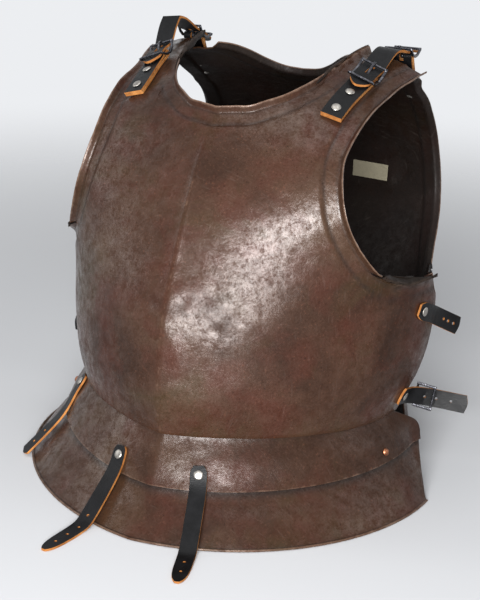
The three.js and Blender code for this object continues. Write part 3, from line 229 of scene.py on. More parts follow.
def makePatinaGroup():
    # browned steel: broad clouds, rust freckles, dark pits, patches rubbed bright that also carry painted highlights,
    # and painted shade that darkens steps, creases and overlaps
    group, given, result = makeGroup(
        "brownedSteel",
        [("Vector", "NodeSocketVector", None), ("RubAndHighlight", "NodeSocketFloat", 0.0), ("PaintedShade", "NodeSocketFloat", 0.0)],
        [("Colour", "NodeSocketColor"), ("Roughness", "NodeSocketFloat"), ("Polish", "NodeSocketFloat"),
         ("Height", "NodeSocketFloat")],
    )
    vector = given.outputs["Vector"]
    rubAndHighlight = given.outputs["RubAndHighlight"]
    cloud = noiseAt(group, vector, 7, 6, 0.6, 0.5)
    tone = noiseAt(group, vector, 16, 6, 0.6, 0.2)
    mottle = noiseAt(group, vector, 95, 9, 0.72, 0.25)
    freckle = noiseAt(group, vector, 420, 6, 0.7)
    grain = noiseAt(group, vector, 900, 3, 0.6)
    base = ramp(group, cloud, [(0.32, (0.019, 0.009, 0.0055)), (0.5, (0.04, 0.0185, 0.0105)),
                               (0.66, (0.052, 0.028, 0.015))])
    red = mapRange(group, tone, 0.46, 0.66, 0.0, 0.7)
    coloured = blendColour(group, red, base, (0.047, 0.0135, 0.0075))
    olive = mapRange(group, noiseAt(group, vector, 11, 4, 0.55, 0.8), 0.55, 0.7, 0.0, 0.6)
    coloured = blendColour(group, olive, coloured, (0.033, 0.0215, 0.008))
    patches = ramp(group, mottle, [(0.3, (0.72, 0.7, 0.7)), (0.5, (0.98, 0.98, 0.97)), (0.7, (1.25, 1.2, 1.15))])
    coloured = blendColour(group, 0.6, coloured, patches, "MULTIPLY")
    rust = mapRange(group, freckle, 0.58, 0.7, 0.0, 0.5)
    coloured = blendColour(group, rust, coloured, (0.11, 0.036, 0.014))
    pits = mapRange(group, freckle, 0.4, 0.33, 0.0, 0.65)
    coloured = blendColour(group, pits, coloured, (0.012, 0.008, 0.007))
    # partly wear, partly painted highlight: the rubbed vertex paint along rims, border steps, the ridge and hem
    # beads, plus random mottle, turns the colour a lighter brown
    toneShift = mapRange(group, calculate(group, "ADD", rubAndHighlight, calculate(group, "MULTIPLY", mottle, 0.6)),
                    0.46, 0.9, 0.0, 0.9)
    coloured = blendColour(group, toneShift, coloured, (0.26, 0.17, 0.12))
    # painted shade: the shade input darkens the colour to near black in the border step, the rim crease and under
    # overlapping plates
    shadeDarkening = mapRange(group, given.outputs["PaintedShade"], 0.0, 1.0, 0.0, 0.9)
    coloured = blendColour(group, shadeDarkening, coloured, (0.01, 0.008, 0.007))
    group.links.new(coloured, result.inputs["Colour"])
    dull = mapRange(group, mottle, 0.36, 0.64, 0.52, 0.28)
    dull = calculate(group, "ADD", dull, mapRange(group, freckle, 0.4, 0.7, -0.04, 0.1))
    dull = calculate(group, "SUBTRACT", dull, calculate(group, "MULTIPLY", toneShift, 0.08))
    group.links.new(dull, result.inputs["Roughness"])
    polish = mapRange(group, calculate(group, "ADD", calculate(group, "MULTIPLY", mottle, 0.5),
                                       calculate(group, "MULTIPLY", freckle, 0.5)), 0.42, 0.56, 0.02, 1.0)
    polish = calculate(group, "MULTIPLY", polish, mapRange(group, cloud, 0.35, 0.6, 0.35, 1.0))
    group.links.new(polish, result.inputs["Polish"])
    height = calculate(group, "MULTIPLY", mottle, 0.45)
    height = calculate(group, "ADD", height, calculate(group, "MULTIPLY", freckle, 0.22))
    height = calculate(group, "ADD", height, calculate(group, "MULTIPLY", grain, 0.06))
    group.links.new(height, result.inputs["Height"])
    return group


def makeHammerGroup():
    # shallow hammer marks left in a raised plate
    group, given, result = makeGroup(
        "hammerMarks", [("Vector", "NodeSocketVector", None), ("Scale", "NodeSocketFloat", 55.0)],
        [("Height", "NodeSocketFloat")],
    )
    cells = shaderNode(group, "ShaderNodeTexVoronoi", feature="SMOOTH_F1", Smoothness=1.0, Randomness=1.0)
    group.links.new(given.outputs["Vector"], cells.inputs["Vector"])
    group.links.new(given.outputs["Scale"], cells.inputs["Scale"])
    swell = noiseAt(group, given.outputs["Vector"], 24, 3, 0.5, 0.4)
    total = calculate(group, "ADD", calculate(group, "MULTIPLY", cells.outputs["Distance"], 0.5), swell)
    group.links.new(total, result.inputs["Height"])
    return group


def makeScratchGroup():
    group, given, result = makeGroup(
        "fineScratches", [("Vector", "NodeSocketVector", None), ("Scale", "NodeSocketFloat", 60.0)],
        [("Mask", "NodeSocketFloat")],
    )
    turned = shaderNode(group, "ShaderNodeMapping", Rotation=(0.4, 0.9, 0.5), Scale=(1.0, 14.0, 1.0))
    group.links.new(given.outputs["Vector"], turned.inputs["Vector"])
    lines = shaderNode(group, "ShaderNodeTexNoise", Detail=4.0, Roughness=0.6)
    group.links.new(turned.outputs[0], lines.inputs["Vector"])
    group.links.new(given.outputs["Scale"], lines.inputs["Scale"])
    group.links.new(mapRange(group, lines.outputs["Fac"], 0.6, 0.72, 0.0, 1.0), result.inputs["Mask"])
    return group


def makeLeatherGroup():
    group, given, result = makeGroup(
        "leatherGrain", [("Vector", "NodeSocketVector", None), ("Scale", "NodeSocketFloat", 900.0)],
        [("Height", "NodeSocketFloat"), ("Mask", "NodeSocketFloat")],
    )
    pebble = shaderNode(group, "ShaderNodeTexVoronoi", feature="F1", Randomness=0.9)
    group.links.new(given.outputs["Vector"], pebble.inputs["Vector"])
    group.links.new(given.outputs["Scale"], pebble.inputs["Scale"])
    crease = noiseAt(group, given.outputs["Vector"], 210, 6, 0.65, 0.8)
    height = calculate(group, "ADD", calculate(group, "MULTIPLY", pebble.outputs["Distance"], 0.6), crease)
    group.links.new(height, result.inputs["Height"])
    group.links.new(noiseAt(group, given.outputs["Vector"], 70, 5, 0.6), result.inputs["Mask"])
    return group


brownedSteel = makePatinaGroup()
hammerMarks = makeHammerGroup()
fineScratches = makeScratchGroup()
leatherGrain = makeLeatherGroup()


def newMaterial(name):
    material = bpy.data.materials.new(name)
    material.use_nodes = True
    tree = material.node_tree
    surface = tree.nodes["Principled BSDF"]
    coords = tree.nodes.new("ShaderNodeTexCoord")
    return material, tree, surface, coords.outputs["Object"]


def placeGroup(tree, group, vector, **values):
    node = tree.nodes.new("ShaderNodeGroup")
    node.node_tree = group
    tree.links.new(vector, node.inputs["Vector"])
    for key, value in values.items():
        node.inputs[key].default_value = value
    return node


def addBump(tree, surface, height, distance, strength=1.0, before=None):
    bump = shaderNode(tree, "ShaderNodeBump", Strength=strength, Distance=distance)
    tree.links.new(height, bump.inputs["Height"])
    if before:
        tree.links.new(before, bump.inputs["Normal"])
    tree.links.new(bump.outputs["Normal"], surface.inputs["Normal"])
    return bump.outputs["Normal"]


def makePlateMaterial(name, look):
    material, tree, surface, place = newMaterial(name)
    moved = shaderNode(tree, "ShaderNodeMapping", Location=look["offset"])
    tree.links.new(place, moved.inputs["Vector"])
    vector = moved.outputs[0]
    steel = placeGroup(tree, brownedSteel, vector)
    # vertex layers feed rubbed wear with painted highlights, and painted shade, into the steel colour
    for attribute, socket in (("rubAndHighlight", "RubAndHighlight"), ("paintedShade", "PaintedShade")):
        painted = shaderNode(tree, "ShaderNodeAttribute", attribute_name=attribute)
        tree.links.new(painted.outputs["Fac"], steel.inputs[socket])
    scratches = placeGroup(tree, fineScratches, vector, Scale=46.0)
    faint = calculate(tree, "MULTIPLY", scratches.outputs["Mask"], look["scratch"])
    colour = blendColour(tree, 1.0, steel.outputs["Colour"], look["tint"], "MULTIPLY")
    colour = blendColour(tree, faint, colour, (0.3, 0.25, 0.22))
    tree.links.new(colour, surface.inputs["Base Color"])
    tree.links.new(calculate(tree, "ADD", steel.outputs["Roughness"], look["roughen"]), surface.inputs["Roughness"])
    surface.inputs["Metallic"].default_value = look["metallic"]
    surface.inputs["Specular IOR Level"].default_value = look["specular"]
    surface.inputs["Coat Roughness"].default_value = look["coatRoughness"]
    surface.inputs["Coat IOR"].default_value = look["coatIor"]
    polish = calculate(tree, "MULTIPLY", steel.outputs["Polish"], look["polish"])
    tree.links.new(polish, surface.inputs["Coat Weight"])
    hammer = placeGroup(tree, hammerMarks, vector, Scale=52.0)
    first = addBump(tree, surface, hammer.outputs["Height"], look["hammer"], 1.0)
    bumped = addBump(tree, surface, steel.outputs["Height"], look["pitting"], 0.8, first)
    tree.links.new(bumped, surface.inputs["Coat Normal"])
    return material


plateLook = {
    "tint": (0.86, 0.84, 0.84), "metallic": 0.14, "specular": 0.1, "roughen": 0.0, "scratch": 0.035, "polish": 0.85,
    "coatRoughness": 0.21, "coatIor": 1.36, "hammer": 0.0009, "pitting": 0.0008, "offset": (0.0, 0.0, 0.0),
}
plateSteel = makePlateMaterial("plateSteel", plateLook)
lameSteel = makePlateMaterial("lameSteel", {**plateLook, "tint": (0.74, 0.72, 0.7), "offset": (0.7, 0.2, 0.4)})
innerSteel = makePlateMaterial("innerSteel", {
    **plateLook, "tint": (0.14, 0.14, 0.14), "roughen": 0.2, "polish": 0.06, "specular": 0.15,
    "offset": (0.3, 0.9, 0.1),
})


def makeLeatherMaterial(name, deep, light, roughness, grainDepth, scale):
    material, tree, surface, place = newMaterial(name)
    grain = placeGroup(tree, leatherGrain, place, Scale=scale)
    shade = mapRange(tree, grain.outputs["Mask"], 0.35, 0.68, 0.0, 1.0)
    tree.links.new(blendColour(tree, shade, deep, light), surface.inputs["Base Color"])
    tree.links.new(mapRange(tree, grain.outputs["Mask"], 0.3, 0.7, roughness - 0.07, roughness + 0.1),
                   surface.inputs["Roughness"])
    surface.inputs["Specular IOR Level"].default_value = 0.13
    addBump(tree, surface, grain.outputs["Height"], grainDepth, 0.7)
    return material


blackLeather = makeLeatherMaterial("blackLeather", (0.002, 0.002, 0.0022), (0.005, 0.005, 0.0056), 0.4, 0.0003, 900)
cutEdge = makeLeatherMaterial("cutLeatherEdge", (0.2, 0.07, 0.016), (0.38, 0.16, 0.045), 0.75, 0.0005, 1500)
rawUnderside = makeLeatherMaterial("rawLeatherUnderside", (0.3, 0.14, 0.05), (0.46, 0.25, 0.1), 0.85, 0.0005, 1300)


def makeMetalMaterial(name, colour, toneShift, roughness, metallic, scratchScale, surfaceMarks):
    material, tree, surface, place = newMaterial(name)
    scratches = placeGroup(tree, fineScratches, place, Scale=scratchScale)
    cloud = noiseAt(tree, place, 260, 5, 0.6)
    mask = calculate(tree, "MULTIPLY", mapRange(tree, cloud, 0.4, 0.7, 0.0, 1.0), surfaceMarks)
    shown = blendColour(tree, mask, colour, toneShift)
    shown = blendColour(tree, calculate(tree, "MULTIPLY", scratches.outputs["Mask"], 0.5), shown, toneShift)
    tree.links.new(shown, surface.inputs["Base Color"])
    tree.links.new(mapRange(tree, cloud, 0.3, 0.7, roughness + 0.1, roughness - 0.04), surface.inputs["Roughness"])
    surface.inputs["Metallic"].default_value = metallic
    addBump(tree, surface, cloud, 0.0001, 0.6)
    return material


nickelPlate = makeMetalMaterial("nickelPlate", (0.36, 0.34, 0.31), (0.14, 0.125, 0.11), 0.34, 0.95, 240, 0.7)
gunmetalWire = makeMetalMaterial("gunmetalWire", (0.035, 0.035, 0.04), (0.2, 0.2, 0.22), 0.24, 0.95, 300, 0.4)
agedCopper = makeMetalMaterial("agedCopper", (0.3, 0.12, 0.06), (0.12, 0.05, 0.03), 0.34, 0.9, 240, 0.7)


def makeTagMaterial():
    material, tree, surface, place = newMaterial("wovenTag")
    warp = shaderNode(tree, "ShaderNodeTexWave", bands_direction="X", Scale=420.0, Distortion=0.4)
    weft = shaderNode(tree, "ShaderNodeTexWave", bands_direction="Z", Scale=420.0, Distortion=0.4)
    for wave in (warp, weft):
        tree.links.new(place, wave.inputs["Vector"])
    weave = calculate(tree, "MULTIPLY", warp.outputs["Fac"], weft.outputs["Fac"])
    soil = noiseAt(tree, place, 90, 5, 0.6)
    tone = calculate(tree, "MULTIPLY", calculate(tree, "ADD", weave, 1.6), mapRange(tree, soil, 0.3, 0.7, 0.3, 0.42))
    tree.links.new(blendColour(tree, tone, (0.09, 0.08, 0.05), (0.26, 0.23, 0.16)), surface.inputs["Base Color"])
    surface.inputs["Roughness"].default_value = 0.85
    addBump(tree, surface, weave, 0.0003, 0.6)
    return material


wovenTag = makeTagMaterial()
print("materials are made")


# small helpers for pieces
def addPiece(name, bm, materials, node, smooth=True):
    mesh = bpy.data.meshes.new(name)
    bm.to_mesh(mesh)
    bm.free()
    for material in materials:
        mesh.materials.append(material)
    for face in mesh.polygons:
        face.use_smooth = smooth
    piece = bpy.data.objects.new(name, mesh)
    bpy.context.scene.collection.objects.link(piece)
    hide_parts(node)
    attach(piece, bodyOf[node])
    return piece


def addModifier(piece, name, kind, **values):
    modifier = piece.modifiers.new(name, kind)
    for key, value in values.items():
        setattr(modifier, key, value)
    return modifier


def roundEdges(piece, name, width, angle):
    addModifier(piece, name, "BEVEL", width=width, segments=2, limit_method="ANGLE", angle_limit=math.radians(angle),
                profile=0.5)


def joinFaces(bm, keepMaterials):
    bmesh.ops.join_triangles(bm, faces=bm.faces, cmp_seam=False, cmp_sharp=False, cmp_uvs=False, cmp_vcols=False,
                             cmp_materials=keepMaterials, angle_face_threshold=math.radians(30),
                             angle_shape_threshold=math.radians(60))


def mergedCopy(node):
    bm = bmesh.new()
    bm.from_mesh(frame["nodes"][node].data)
    bmesh.ops.remove_doubles(bm, verts=bm.verts, dist=0.000002)
    bm.normal_update()
    return bm


# the plates' own curves
plateSizes = {
    "thickness": 1.8, "rimTurn": 4.5, "rimWidth": 5.0, "borderWidth": 20.0, "borderSink": 2.0, "borderStep": 4.0,
}
frontPlate = {
    "level": 97, "rise": 395, "depth": 198, "halfWidth": 224, "facing": 1, "ridge": 0.22, "shoulderRoom": 0,
    "girth": [0, 0.071, 0.152, 0.254, 0.351, 0.473, 0.592, 0.679, 0.775, 0.889, 1],
    "midOut": [0.96, 1, 0.985, 0.934, 0.823, 0.677, 0.495, 0.333, 0.101, -0.202, -0.505],
    "midRise": [0, 0.096, 0.21, 0.349, 0.476, 0.628, 0.767, 0.858, 0.927, 0.977, 1],
    "sideWidth": [0.879, 0.938, 0.982, 1, 0.996, 0.978, 0.964, 0.946, 0.946, 0.946, 0.946],
    "sideOut": [-0.051, -0.111, -0.162, -0.182, -0.04, 0.152, 0.081, -0.207, -0.414, -0.606, -0.833],
    "sideRise": [-0.013, 0.073, 0.18, 0.324, 0.473, 0.628, 0.767, 0.81, 0.78, 0.828, 0.861],
    "armAngle": [1, 0.875, 0.766, 0.647, 0.572, 0.525, 0.497, 0.483, 0.499, 0.525, 0.551, 0.581, 0.612],
    "armGirth": [0.304, 0.306, 0.305, 0.334, 0.391, 0.454, 0.513, 0.572, 0.625, 0.692, 0.811, 0.857, 0.912],
    "neckAngle": [0, 0.058, 0.11, 0.145, 0.197, 0.239, 0.274, 0.302, 0.327],
    "neckGirth": [0.662, 0.667, 0.672, 0.685, 0.707, 0.743, 0.794, 0.861, 0.962],
}
rearPlate = {
    "level": 97, "rise": 387, "depth": 235, "halfWidth": 190, "facing": -1, "ridge": 0, "shoulderRoom": 2.0,
    "girth": [0, 0.092, 0.192, 0.303, 0.41, 0.516, 0.618, 0.712, 0.809, 0.91, 1],
    "midOut": [0.8, 0.826, 0.889, 0.962, 1, 0.983, 0.911, 0.791, 0.63, 0.468, 0.298],
    "midRise": [0, 0.111, 0.227, 0.357, 0.486, 0.615, 0.731, 0.822, 0.889, 0.964, 1],
    "sideWidth": [0.937, 0.968, 0.995, 1, 1, 1, 0.989, 0.984, 1, 1.05, 1.08],
    "sideOut": [0.383, 0.374, 0.357, 0.5, 0.7, 0.766, 0.749, 0.596, 0.426, 0.366, 0.213],
    "sideRise": [-0.005, 0.106, 0.22, 0.354, 0.486, 0.615, 0.731, 0.814, 0.86, 0.848, 0.822],
    "armAngle": [1, 0.89, 0.82, 0.765, 0.715, 0.668, 0.637, 0.627, 0.633, 0.617, 0.592],
    "armGirth": [0.287, 0.256, 0.256, 0.295, 0.38, 0.475, 0.57, 0.633, 0.728, 0.833, 0.939],
    "neckAngle": [0, 0.076, 0.14, 0.197, 0.248, 0.288],
    "neckGirth": [0.805, 0.815, 0.845, 0.885, 0.92, 0.941],
}
quarterTurn = math.pi / 2


def through(knots, values, at):
    # smooth curve through unevenly spaced values
    last = len(knots) - 1
    i = 0
    while i < last - 1 and at > knots[i + 1]:
        i += 1

    def slope(j):
        if j == 0:
            return (values[1] - values[0]) / (knots[1] - knots[0])
        if j == last:
            return (values[last] - values[last - 1]) / (knots[last] - knots[last - 1])
        before = knots[j] - knots[j - 1]
        after = knots[j + 1] - knots[j]
        fall = (values[j] - values[j - 1]) / before
        climb = (values[j + 1] - values[j]) / after
        return (fall * after + climb * before) / (before + after)

    span = knots[i + 1] - knots[i]
    u = (at - knots[i]) / span
    blend = 2 * u ** 3 - 3 * u ** 2 + 1
    first = (u ** 3 - 2 * u ** 2 + u) * span * slope(i)
    second = (u ** 3 - u ** 2) * span * slope(i + 1)
    return blend * values[i] + first + (1 - blend) * values[i + 1] + second


def smoothStep(low, high, at):
    u = min(1, max(0, (at - low) / (high - low)))
    return u * u * (3 - 2 * u)


def plateSkin(plate):
    outward = -plate["facing"]

    def skin(angle, girth):
        turn = abs(angle)
        value = {key: through(plate["girth"], plate[key], girth)
                 for key in ("midOut", "midRise", "sideWidth", "sideOut", "sideRise")}
        sine = math.sin(turn)
        fall = 1 - math.cos(turn)
        pull = plate["ridge"] * sine + (1 - plate["ridge"]) * fall
        out = value["midOut"] + (value["sideOut"] - value["midOut"]) * pull
        x = plate["halfWidth"] * value["sideWidth"] * sine * (1 if angle >= 0 else -1)
        z = plate["level"] + plate["rise"] * (value["midRise"] + (value["sideRise"] - value["midRise"]) * fall)
        return Vector((x, outward * plate["depth"] * out, z))

    return skin


def outwardOf(skin, facing, angle, girth):
    nudge = 0.004
    across = skin(angle + nudge, girth) - skin(angle - nudge, girth)
    along = skin(angle, girth + nudge) - skin(angle, girth - nudge)
    return (across.cross(along) * facing).normalized()


def outlinePoint(angles, girths, share):
    lengths = [0]
    for k in range(1, len(angles)):
        lengths.append(lengths[-1] + math.hypot(angles[k] - angles[k - 1], girths[k] - girths[k - 1]))
    shares = [length / lengths[-1] for length in lengths]
    return through(shares, angles, share), through(shares, girths, share)


neckShare = 0.66
sideShare = 0.3


def platePatch(plate):
    def side(v):
        if v < sideShare:
            return 1, v / sideShare * plate["armGirth"][0]
        return outlinePoint(plate["armAngle"], plate["armGirth"], (v - sideShare) / (1 - sideShare))

    def top(u):
        if u < neckShare:
            return outlinePoint(plate["neckAngle"], plate["neckGirth"], u / neckShare)
        share = (u - neckShare) / (1 - neckShare)
        return tuple(plate[neck][-1] + (plate[arm][-1] - plate[neck][-1]) * share
                     for neck, arm in (("neckAngle", "armAngle"), ("neckGirth", "armGirth")))

    corners = ((0, 0), (1, 0), top(0), top(1))

    def patch(u, v):
        low, high, edge = (u, 0), top(u), side(v)
        middle = (0, v * plate["neckGirth"][0])
        found = []
        for axis in (0, 1):
            ruled = (1 - v) * low[axis] + v * high[axis] + (1 - u) * middle[axis] + u * edge[axis]
            under = (1 - u) * corners[0][axis] + u * corners[1][axis]
            over = (1 - u) * corners[2][axis] + u * corners[3][axis]
            found.append(ruled - (1 - v) * under - v * over)
        return found

    return patch


edgeInsets = [34, 29, 26, 24, 23, 22, 21, 20, 18, 15, 12, 9, 7, 6, 5, 4.4, 3.8, 3.2, 2.6, 2, 1.4, 0.7, 0]


def edgeShares(length, count):
    inner = 1 - edgeInsets[0] / length
    return [inner * k / count for k in range(count)] + [1 - inset / length for inset in edgeInsets]


def borderLift(inset):
    sizes = plateSizes
    width = sizes["borderWidth"]
    sink = -sizes["borderSink"] * (1 - smoothStep(width, width + sizes["borderStep"], inset))
    turn = (sizes["rimTurn"] + sizes["borderSink"]) * (1 - smoothStep(0, sizes["rimWidth"], inset))
    return sink + turn


def gridOfPlaces(rows):
    # a flat grid of quads whose corners are then set on a curved skin
    columns = len(rows[0])
    bm = bmesh.new()
    bmesh.ops.create_grid(bm, x_segments=columns - 1, y_segments=len(rows) - 1, size=1)
    lowX = min(v.co.x for v in bm.verts)
    highX = max(v.co.x for v in bm.verts)
    lowY = min(v.co.y for v in bm.verts)
    highY = max(v.co.y for v in bm.verts)
    # two vertex layers drive the colour: rubbed wear with painted highlights, and painted shade
    rubAndHighlight = bm.verts.layers.float.new("rubAndHighlight")
    paintedShade = bm.verts.layers.float.new("paintedShade")
    for vertex in bm.verts:
        j = round((vertex.co.x - lowX) / (highX - lowX) * (columns - 1))
        i = round((vertex.co.y - lowY) / (highY - lowY) * (len(rows) - 1))
        place, rubbedAndHighlit, paintedShadeAmount = rows[i][j]
        vertex.co = Vector((place.x, place.y, place.z)) * mm + Vector((0, originBack, 0))
        vertex[rubAndHighlight] = rubbedAndHighlit
        vertex[paintedShade] = paintedShadeAmount
    bm.normal_update()
    return bm


# where the plates are rubbed bright, partly wear and partly painted highlight on the rolled rim, the border step and
# the ridge, and where painted shade darkens the border step and the crease inside the rim, as strength, middle in mm
# from the edge, and width of the fade
surfaceMarks = {
    "rimRubHighlight": (0.36, 0, 3), "borderRubHighlight": (0.16, 23, 2.4), "ridgeRubHighlight": (0.16, 0, 5), "ridgeGirth": (0.5, 0.66),
    "borderPaintedShade": (0.55, 19.5, 3), "rimPaintedShade": (0.4, 5.5, 2.5),
}
# where the relief dies out towards the shoulders, and where the rear plate's outer corners keep back
fades = {"calmGirth": (0.54, 0.64), "cornerAcross": (152, 161), "cornerGirth": (0.78, 0.9)}
pathSteps = 12
lineSteps = 400


def band(mark, at):
    strength, middle, width = mark
    return strength * (1 - smoothStep(0, width, abs(at - middle)))


def plateRows(plate, columnCount, rowCount, relief):
    skin = plateSkin(plate)
    patch = platePatch(plate)
    facing = plate["facing"]

    def at(u, v):
        angle, girth = patch(u, v)
        return skin(angle * quarterTurn, girth)

    def lengthOf(path):
        places = [path(k / pathSteps) for k in range(pathSteps + 1)]
        return sum((places[k] - places[k - 1]).length for k in range(1, pathSteps + 1))

    armLine = KDTree(lineSteps + 1)
    neckLine = KDTree(lineSteps + 1)
    for k in range(lineSteps + 1):
        armLine.insert(at(1, sideShare + (1 - sideShare) * k / lineSteps), k)
        neckLine.insert(at(neckShare * k / lineSteps, 1), k)
    armLine.balance()
    neckLine.balance()
    rowTotal = rowCount + len(edgeInsets)
    columnTotal = columnCount + len(edgeInsets)
    columnTable = [edgeShares(lengthOf(lambda u: at(u, i / (rowTotal - 1))), columnCount) for i in range(rowTotal)]
    rowTable = [edgeShares(lengthOf(lambda v: at(j / (columnTotal - 1), v)), rowCount) for j in range(columnTotal)]
    rows = []
    for i in range(rowTotal):
        half = []
        for j in range(columnTotal):
            angle, girth = patch(columnTable[i][j], rowTable[j][i])
            place = skin(angle * quarterTurn, girth)
            inset = min(armLine.find(place)[2], neckLine.find(place)[2])
            normal = outwardOf(skin, facing, angle * quarterTurn, girth)
            # rubbed brightening along the rim, the border step and the ridge is partly wear, partly painted
            # highlight; the darkening in the border step and the rim crease is painted shade
            rubbedAndHighlit = band(surfaceMarks["rimRubHighlight"], inset) + band(surfaceMarks["borderRubHighlight"], inset)
            if plate["ridge"]:
                rubbedAndHighlit += band(surfaceMarks["ridgeRubHighlight"], place.x) * (1 - smoothStep(*surfaceMarks["ridgeGirth"], girth))
            paintedShadeAmount = band(surfaceMarks["borderPaintedShade"], inset) + band(surfaceMarks["rimPaintedShade"], inset)
            calm = 1 - smoothStep(*fades["calmGirth"], girth)
            corner = smoothStep(*fades["cornerAcross"], place.x) * smoothStep(*fades["cornerGirth"], girth)
            place = place + Vector((0, plate["shoulderRoom"] * corner, 0))
            half.append((place, normal, borderLift(inset), calm, rubbedAndHighlit, paintedShadeAmount))
        row = []
        for place, normal, lift, calm, rubbedAndHighlit, paintedShadeAmount in reversed(half[1:]):
            place = Vector((-place.x, place.y, place.z))
            normal = Vector((-normal.x, normal.y, normal.z))
            row.append((place + normal * (lift + relief(place) * calm), rubbedAndHighlit, paintedShadeAmount))
        for place, normal, lift, calm, rubbedAndHighlit, paintedShadeAmount in half:
            row.append((place + normal * (lift + relief(place) * calm), rubbedAndHighlit, paintedShadeAmount))
        rows.append(row)
    return rows


seat = {
    "words": ("tab", "strap", "rivet", "tag"), "near": 5 * mm, "far": 24 * mm, "gap": 0.05 * mm, "sameWay": 0.5,
}


def seatedTree():
    # every piece that lies on a plate or goes through one
    bm = bmesh.new()
    for node in sorted(frame["nodes"]):
        if any(word in node for word in seat["words"]):
            bm.from_mesh(frame["nodes"][node].data)
    tree = BVHTree.FromBMesh(bm)
    bm.free()
    return tree


seated = seatedTree()


def settle(bm, name):
    # near a seated piece the smooth skin comes down towards the solid that carries it
    solid = mergedCopy(name)
    tree = BVHTree.FromBMesh(solid)
    solid.free()
    bm.normal_update()
    for vertex in bm.verts:
        away = seated.find_nearest(vertex.co)[3]
        if away > seat["far"]:
            continue
        spot, normal = tree.find_nearest(vertex.co)[:2]
        proud = (vertex.co - spot).dot(normal) - seat["gap"]
        if proud > 0 and normal.dot(vertex.normal) > seat["sameWay"]:
            vertex.co -= normal * proud * (1 - smoothStep(seat["near"], seat["far"], away))
    bm.normal_update()


def wallPiece(name, rows, thickness, materials, outwardBack):
    bm = gridOfPlaces(rows)
    bm.verts.ensure_lookup_table()
    middle = bm.verts[len(bm.verts) // 2]
    if (middle.normal.y > 0) != outwardBack:
        bmesh.ops.reverse_faces(bm, faces=bm.faces)
    settle(bm, name)
    piece = addPiece(name + "Shell", bm, materials, name)
    addModifier(piece, "wall", "SOLIDIFY", thickness=thickness * mm, offset=-1, use_even_offset=False,
                material_offset=1, material_offset_rim=0)
    roundEdges(piece, "edge", 0.4 * mm, 50)
    return piece


dents = {
    # knocks beside the ridge: across, height, radius and depth
    "knocks": [(-21.6, 240.8, 10, -1.3), (-14.8, 267.1, 8, -1.0), (8, 252, 7, 0.8), (20, 243, 6, -1.0),
               (31, 236, 7, -0.9), (42, 229, 6, -1.1), (38, 247, 6, -0.8), (53, 220, 7, -1.0), (58, 236, 6, -0.8),
               (68, 216, 7, -0.9), (27, 222, 7, -0.8), (72, 232, 8, -0.7), (50, 255, 8, -0.6),
               (95, 265, 26, -0.9), (-110, 210, 30, -0.8), (120, 190, 28, -0.7)],
    # a crease that wanders down beside the ridge, as across and height
    "crease": [(0.9, 221.9), (14.1, 202.1), (21.7, 183.6), (7.9, 147.8)],
    "creaseRise": 1.0, "creaseWidth": 4.5,
    "ridgeRise": 1.4, "ridgeWidth": 5, "ridgeLow": 235, "ridgeHigh": 300,
    "waveRise": 0.8, "waveScale": 0.014,
}


def breastRelief(place):
    lift = dents["waveRise"] * noise.noise(place * dents["waveScale"])
    for across, height, radius, depth in dents["knocks"]:
        away = math.hypot(place.x - across, place.z - height) / radius
        if away < 2.4:
            lift += depth * math.exp(-away * away)
    spot = Vector((place.x, place.z))
    nearest = min(
        (spot - closestOn(Vector(start), Vector(end), spot)).length
        for start, end in zip(dents["crease"], dents["crease"][1:])
    )
    lift += dents["creaseRise"] * math.exp(-(nearest / dents["creaseWidth"]) ** 2)
    sharp = smoothStep(dents["ridgeLow"], dents["ridgeHigh"], place.z)
    return lift + dents["ridgeRise"] * sharp * math.exp(-abs(place.x) / dents["ridgeWidth"])


def closestOn(start, end, spot):
    run = end - start
    share = min(1, max(0, (spot - start).dot(run) / run.length_squared))
    return start + run * share


def plainRelief(place):
    return dents["waveRise"] * noise.noise(place * dents["waveScale"] + Vector((5, 3, 1)))


wallPiece("breastplate", plateRows(frontPlate, 64, 84, breastRelief), plateSizes["thickness"],
          [plateSteel, innerSteel], False)
wallPiece("backplate", plateRows(rearPlate, 50, 64, plainRelief), plateSizes["thickness"],
          [plateSteel, innerSteel], True)
print("breastplate and backplate are raised")


# skirts
frontSkirt = {
    "rise": 112, "depth": 253, "halfWidth": 249, "facing": 1, "tailFlare": 0.3,
    "step": [0, 0.2, 0.4, 0.6, 0.8, 1], "midRise": [0, 0.196, 0.411, 0.643, 0.866, 1],
    "midOut": [1, 0.917, 0.846, 0.791, 0.737, 0.732], "sideWidth": [1, 0.936, 0.876, 0.839, 0.776, 0.781],
    "sideOut": [0.008, -0.024, -0.047, -0.047, -0.04, -0.047], "sideRise": [0, 0.232, 0.473, 0.661, 0.821, 0.946],
    "ridges": [0.08, 0.1, 0.14, 0.18, 0.22, 0.22], "endAngle": [0.955, 1, 1.045, 1.055, 0.985, 0.975],
}
rearSkirt = {
    "rise": 112, "depth": 236, "halfWidth": 187, "facing": -1, "tailFlare": 0,
    "step": [0, 0.4, 0.8, 1], "midRise": [0, 0.446, 0.866, 1], "midOut": [1, 0.868, 0.78, 0.781],
    "sideWidth": [1, 0.962, 0.93, 0.936], "sideOut": [0.39, 0.385, 0.381, 0.381],
    "sideRise": [0, 0.446, 0.848, 0.982], "ridges": [0, 0, 0, 0], "endAngle": [0.97, 0.98, 0.985, 0.985],
}
# the edge and bead rub values brighten the lames, partly wear and partly painted highlight
lameSizes = {
    "thickness": 1.6, "nestGap": 1.2, "seamStep": 0.4, "hemBead": 2.4, "hemHeight": 3.0, "hemReach": 2.2,
    "hemFoot": 1.7, "beadRadius": 1.5, "beadFloor": 0.05, "beadRubHighlight": 0.28, "rearKeepIn": 0.5,
    "waveRise": 0.5, "waveScale": 0.013, "edgeStep": 0.05, "edgeRubHighlight": 0.22, "edgeRubHighlightWidth": 0.5,
    "rows": 34, "columns": 74,
}


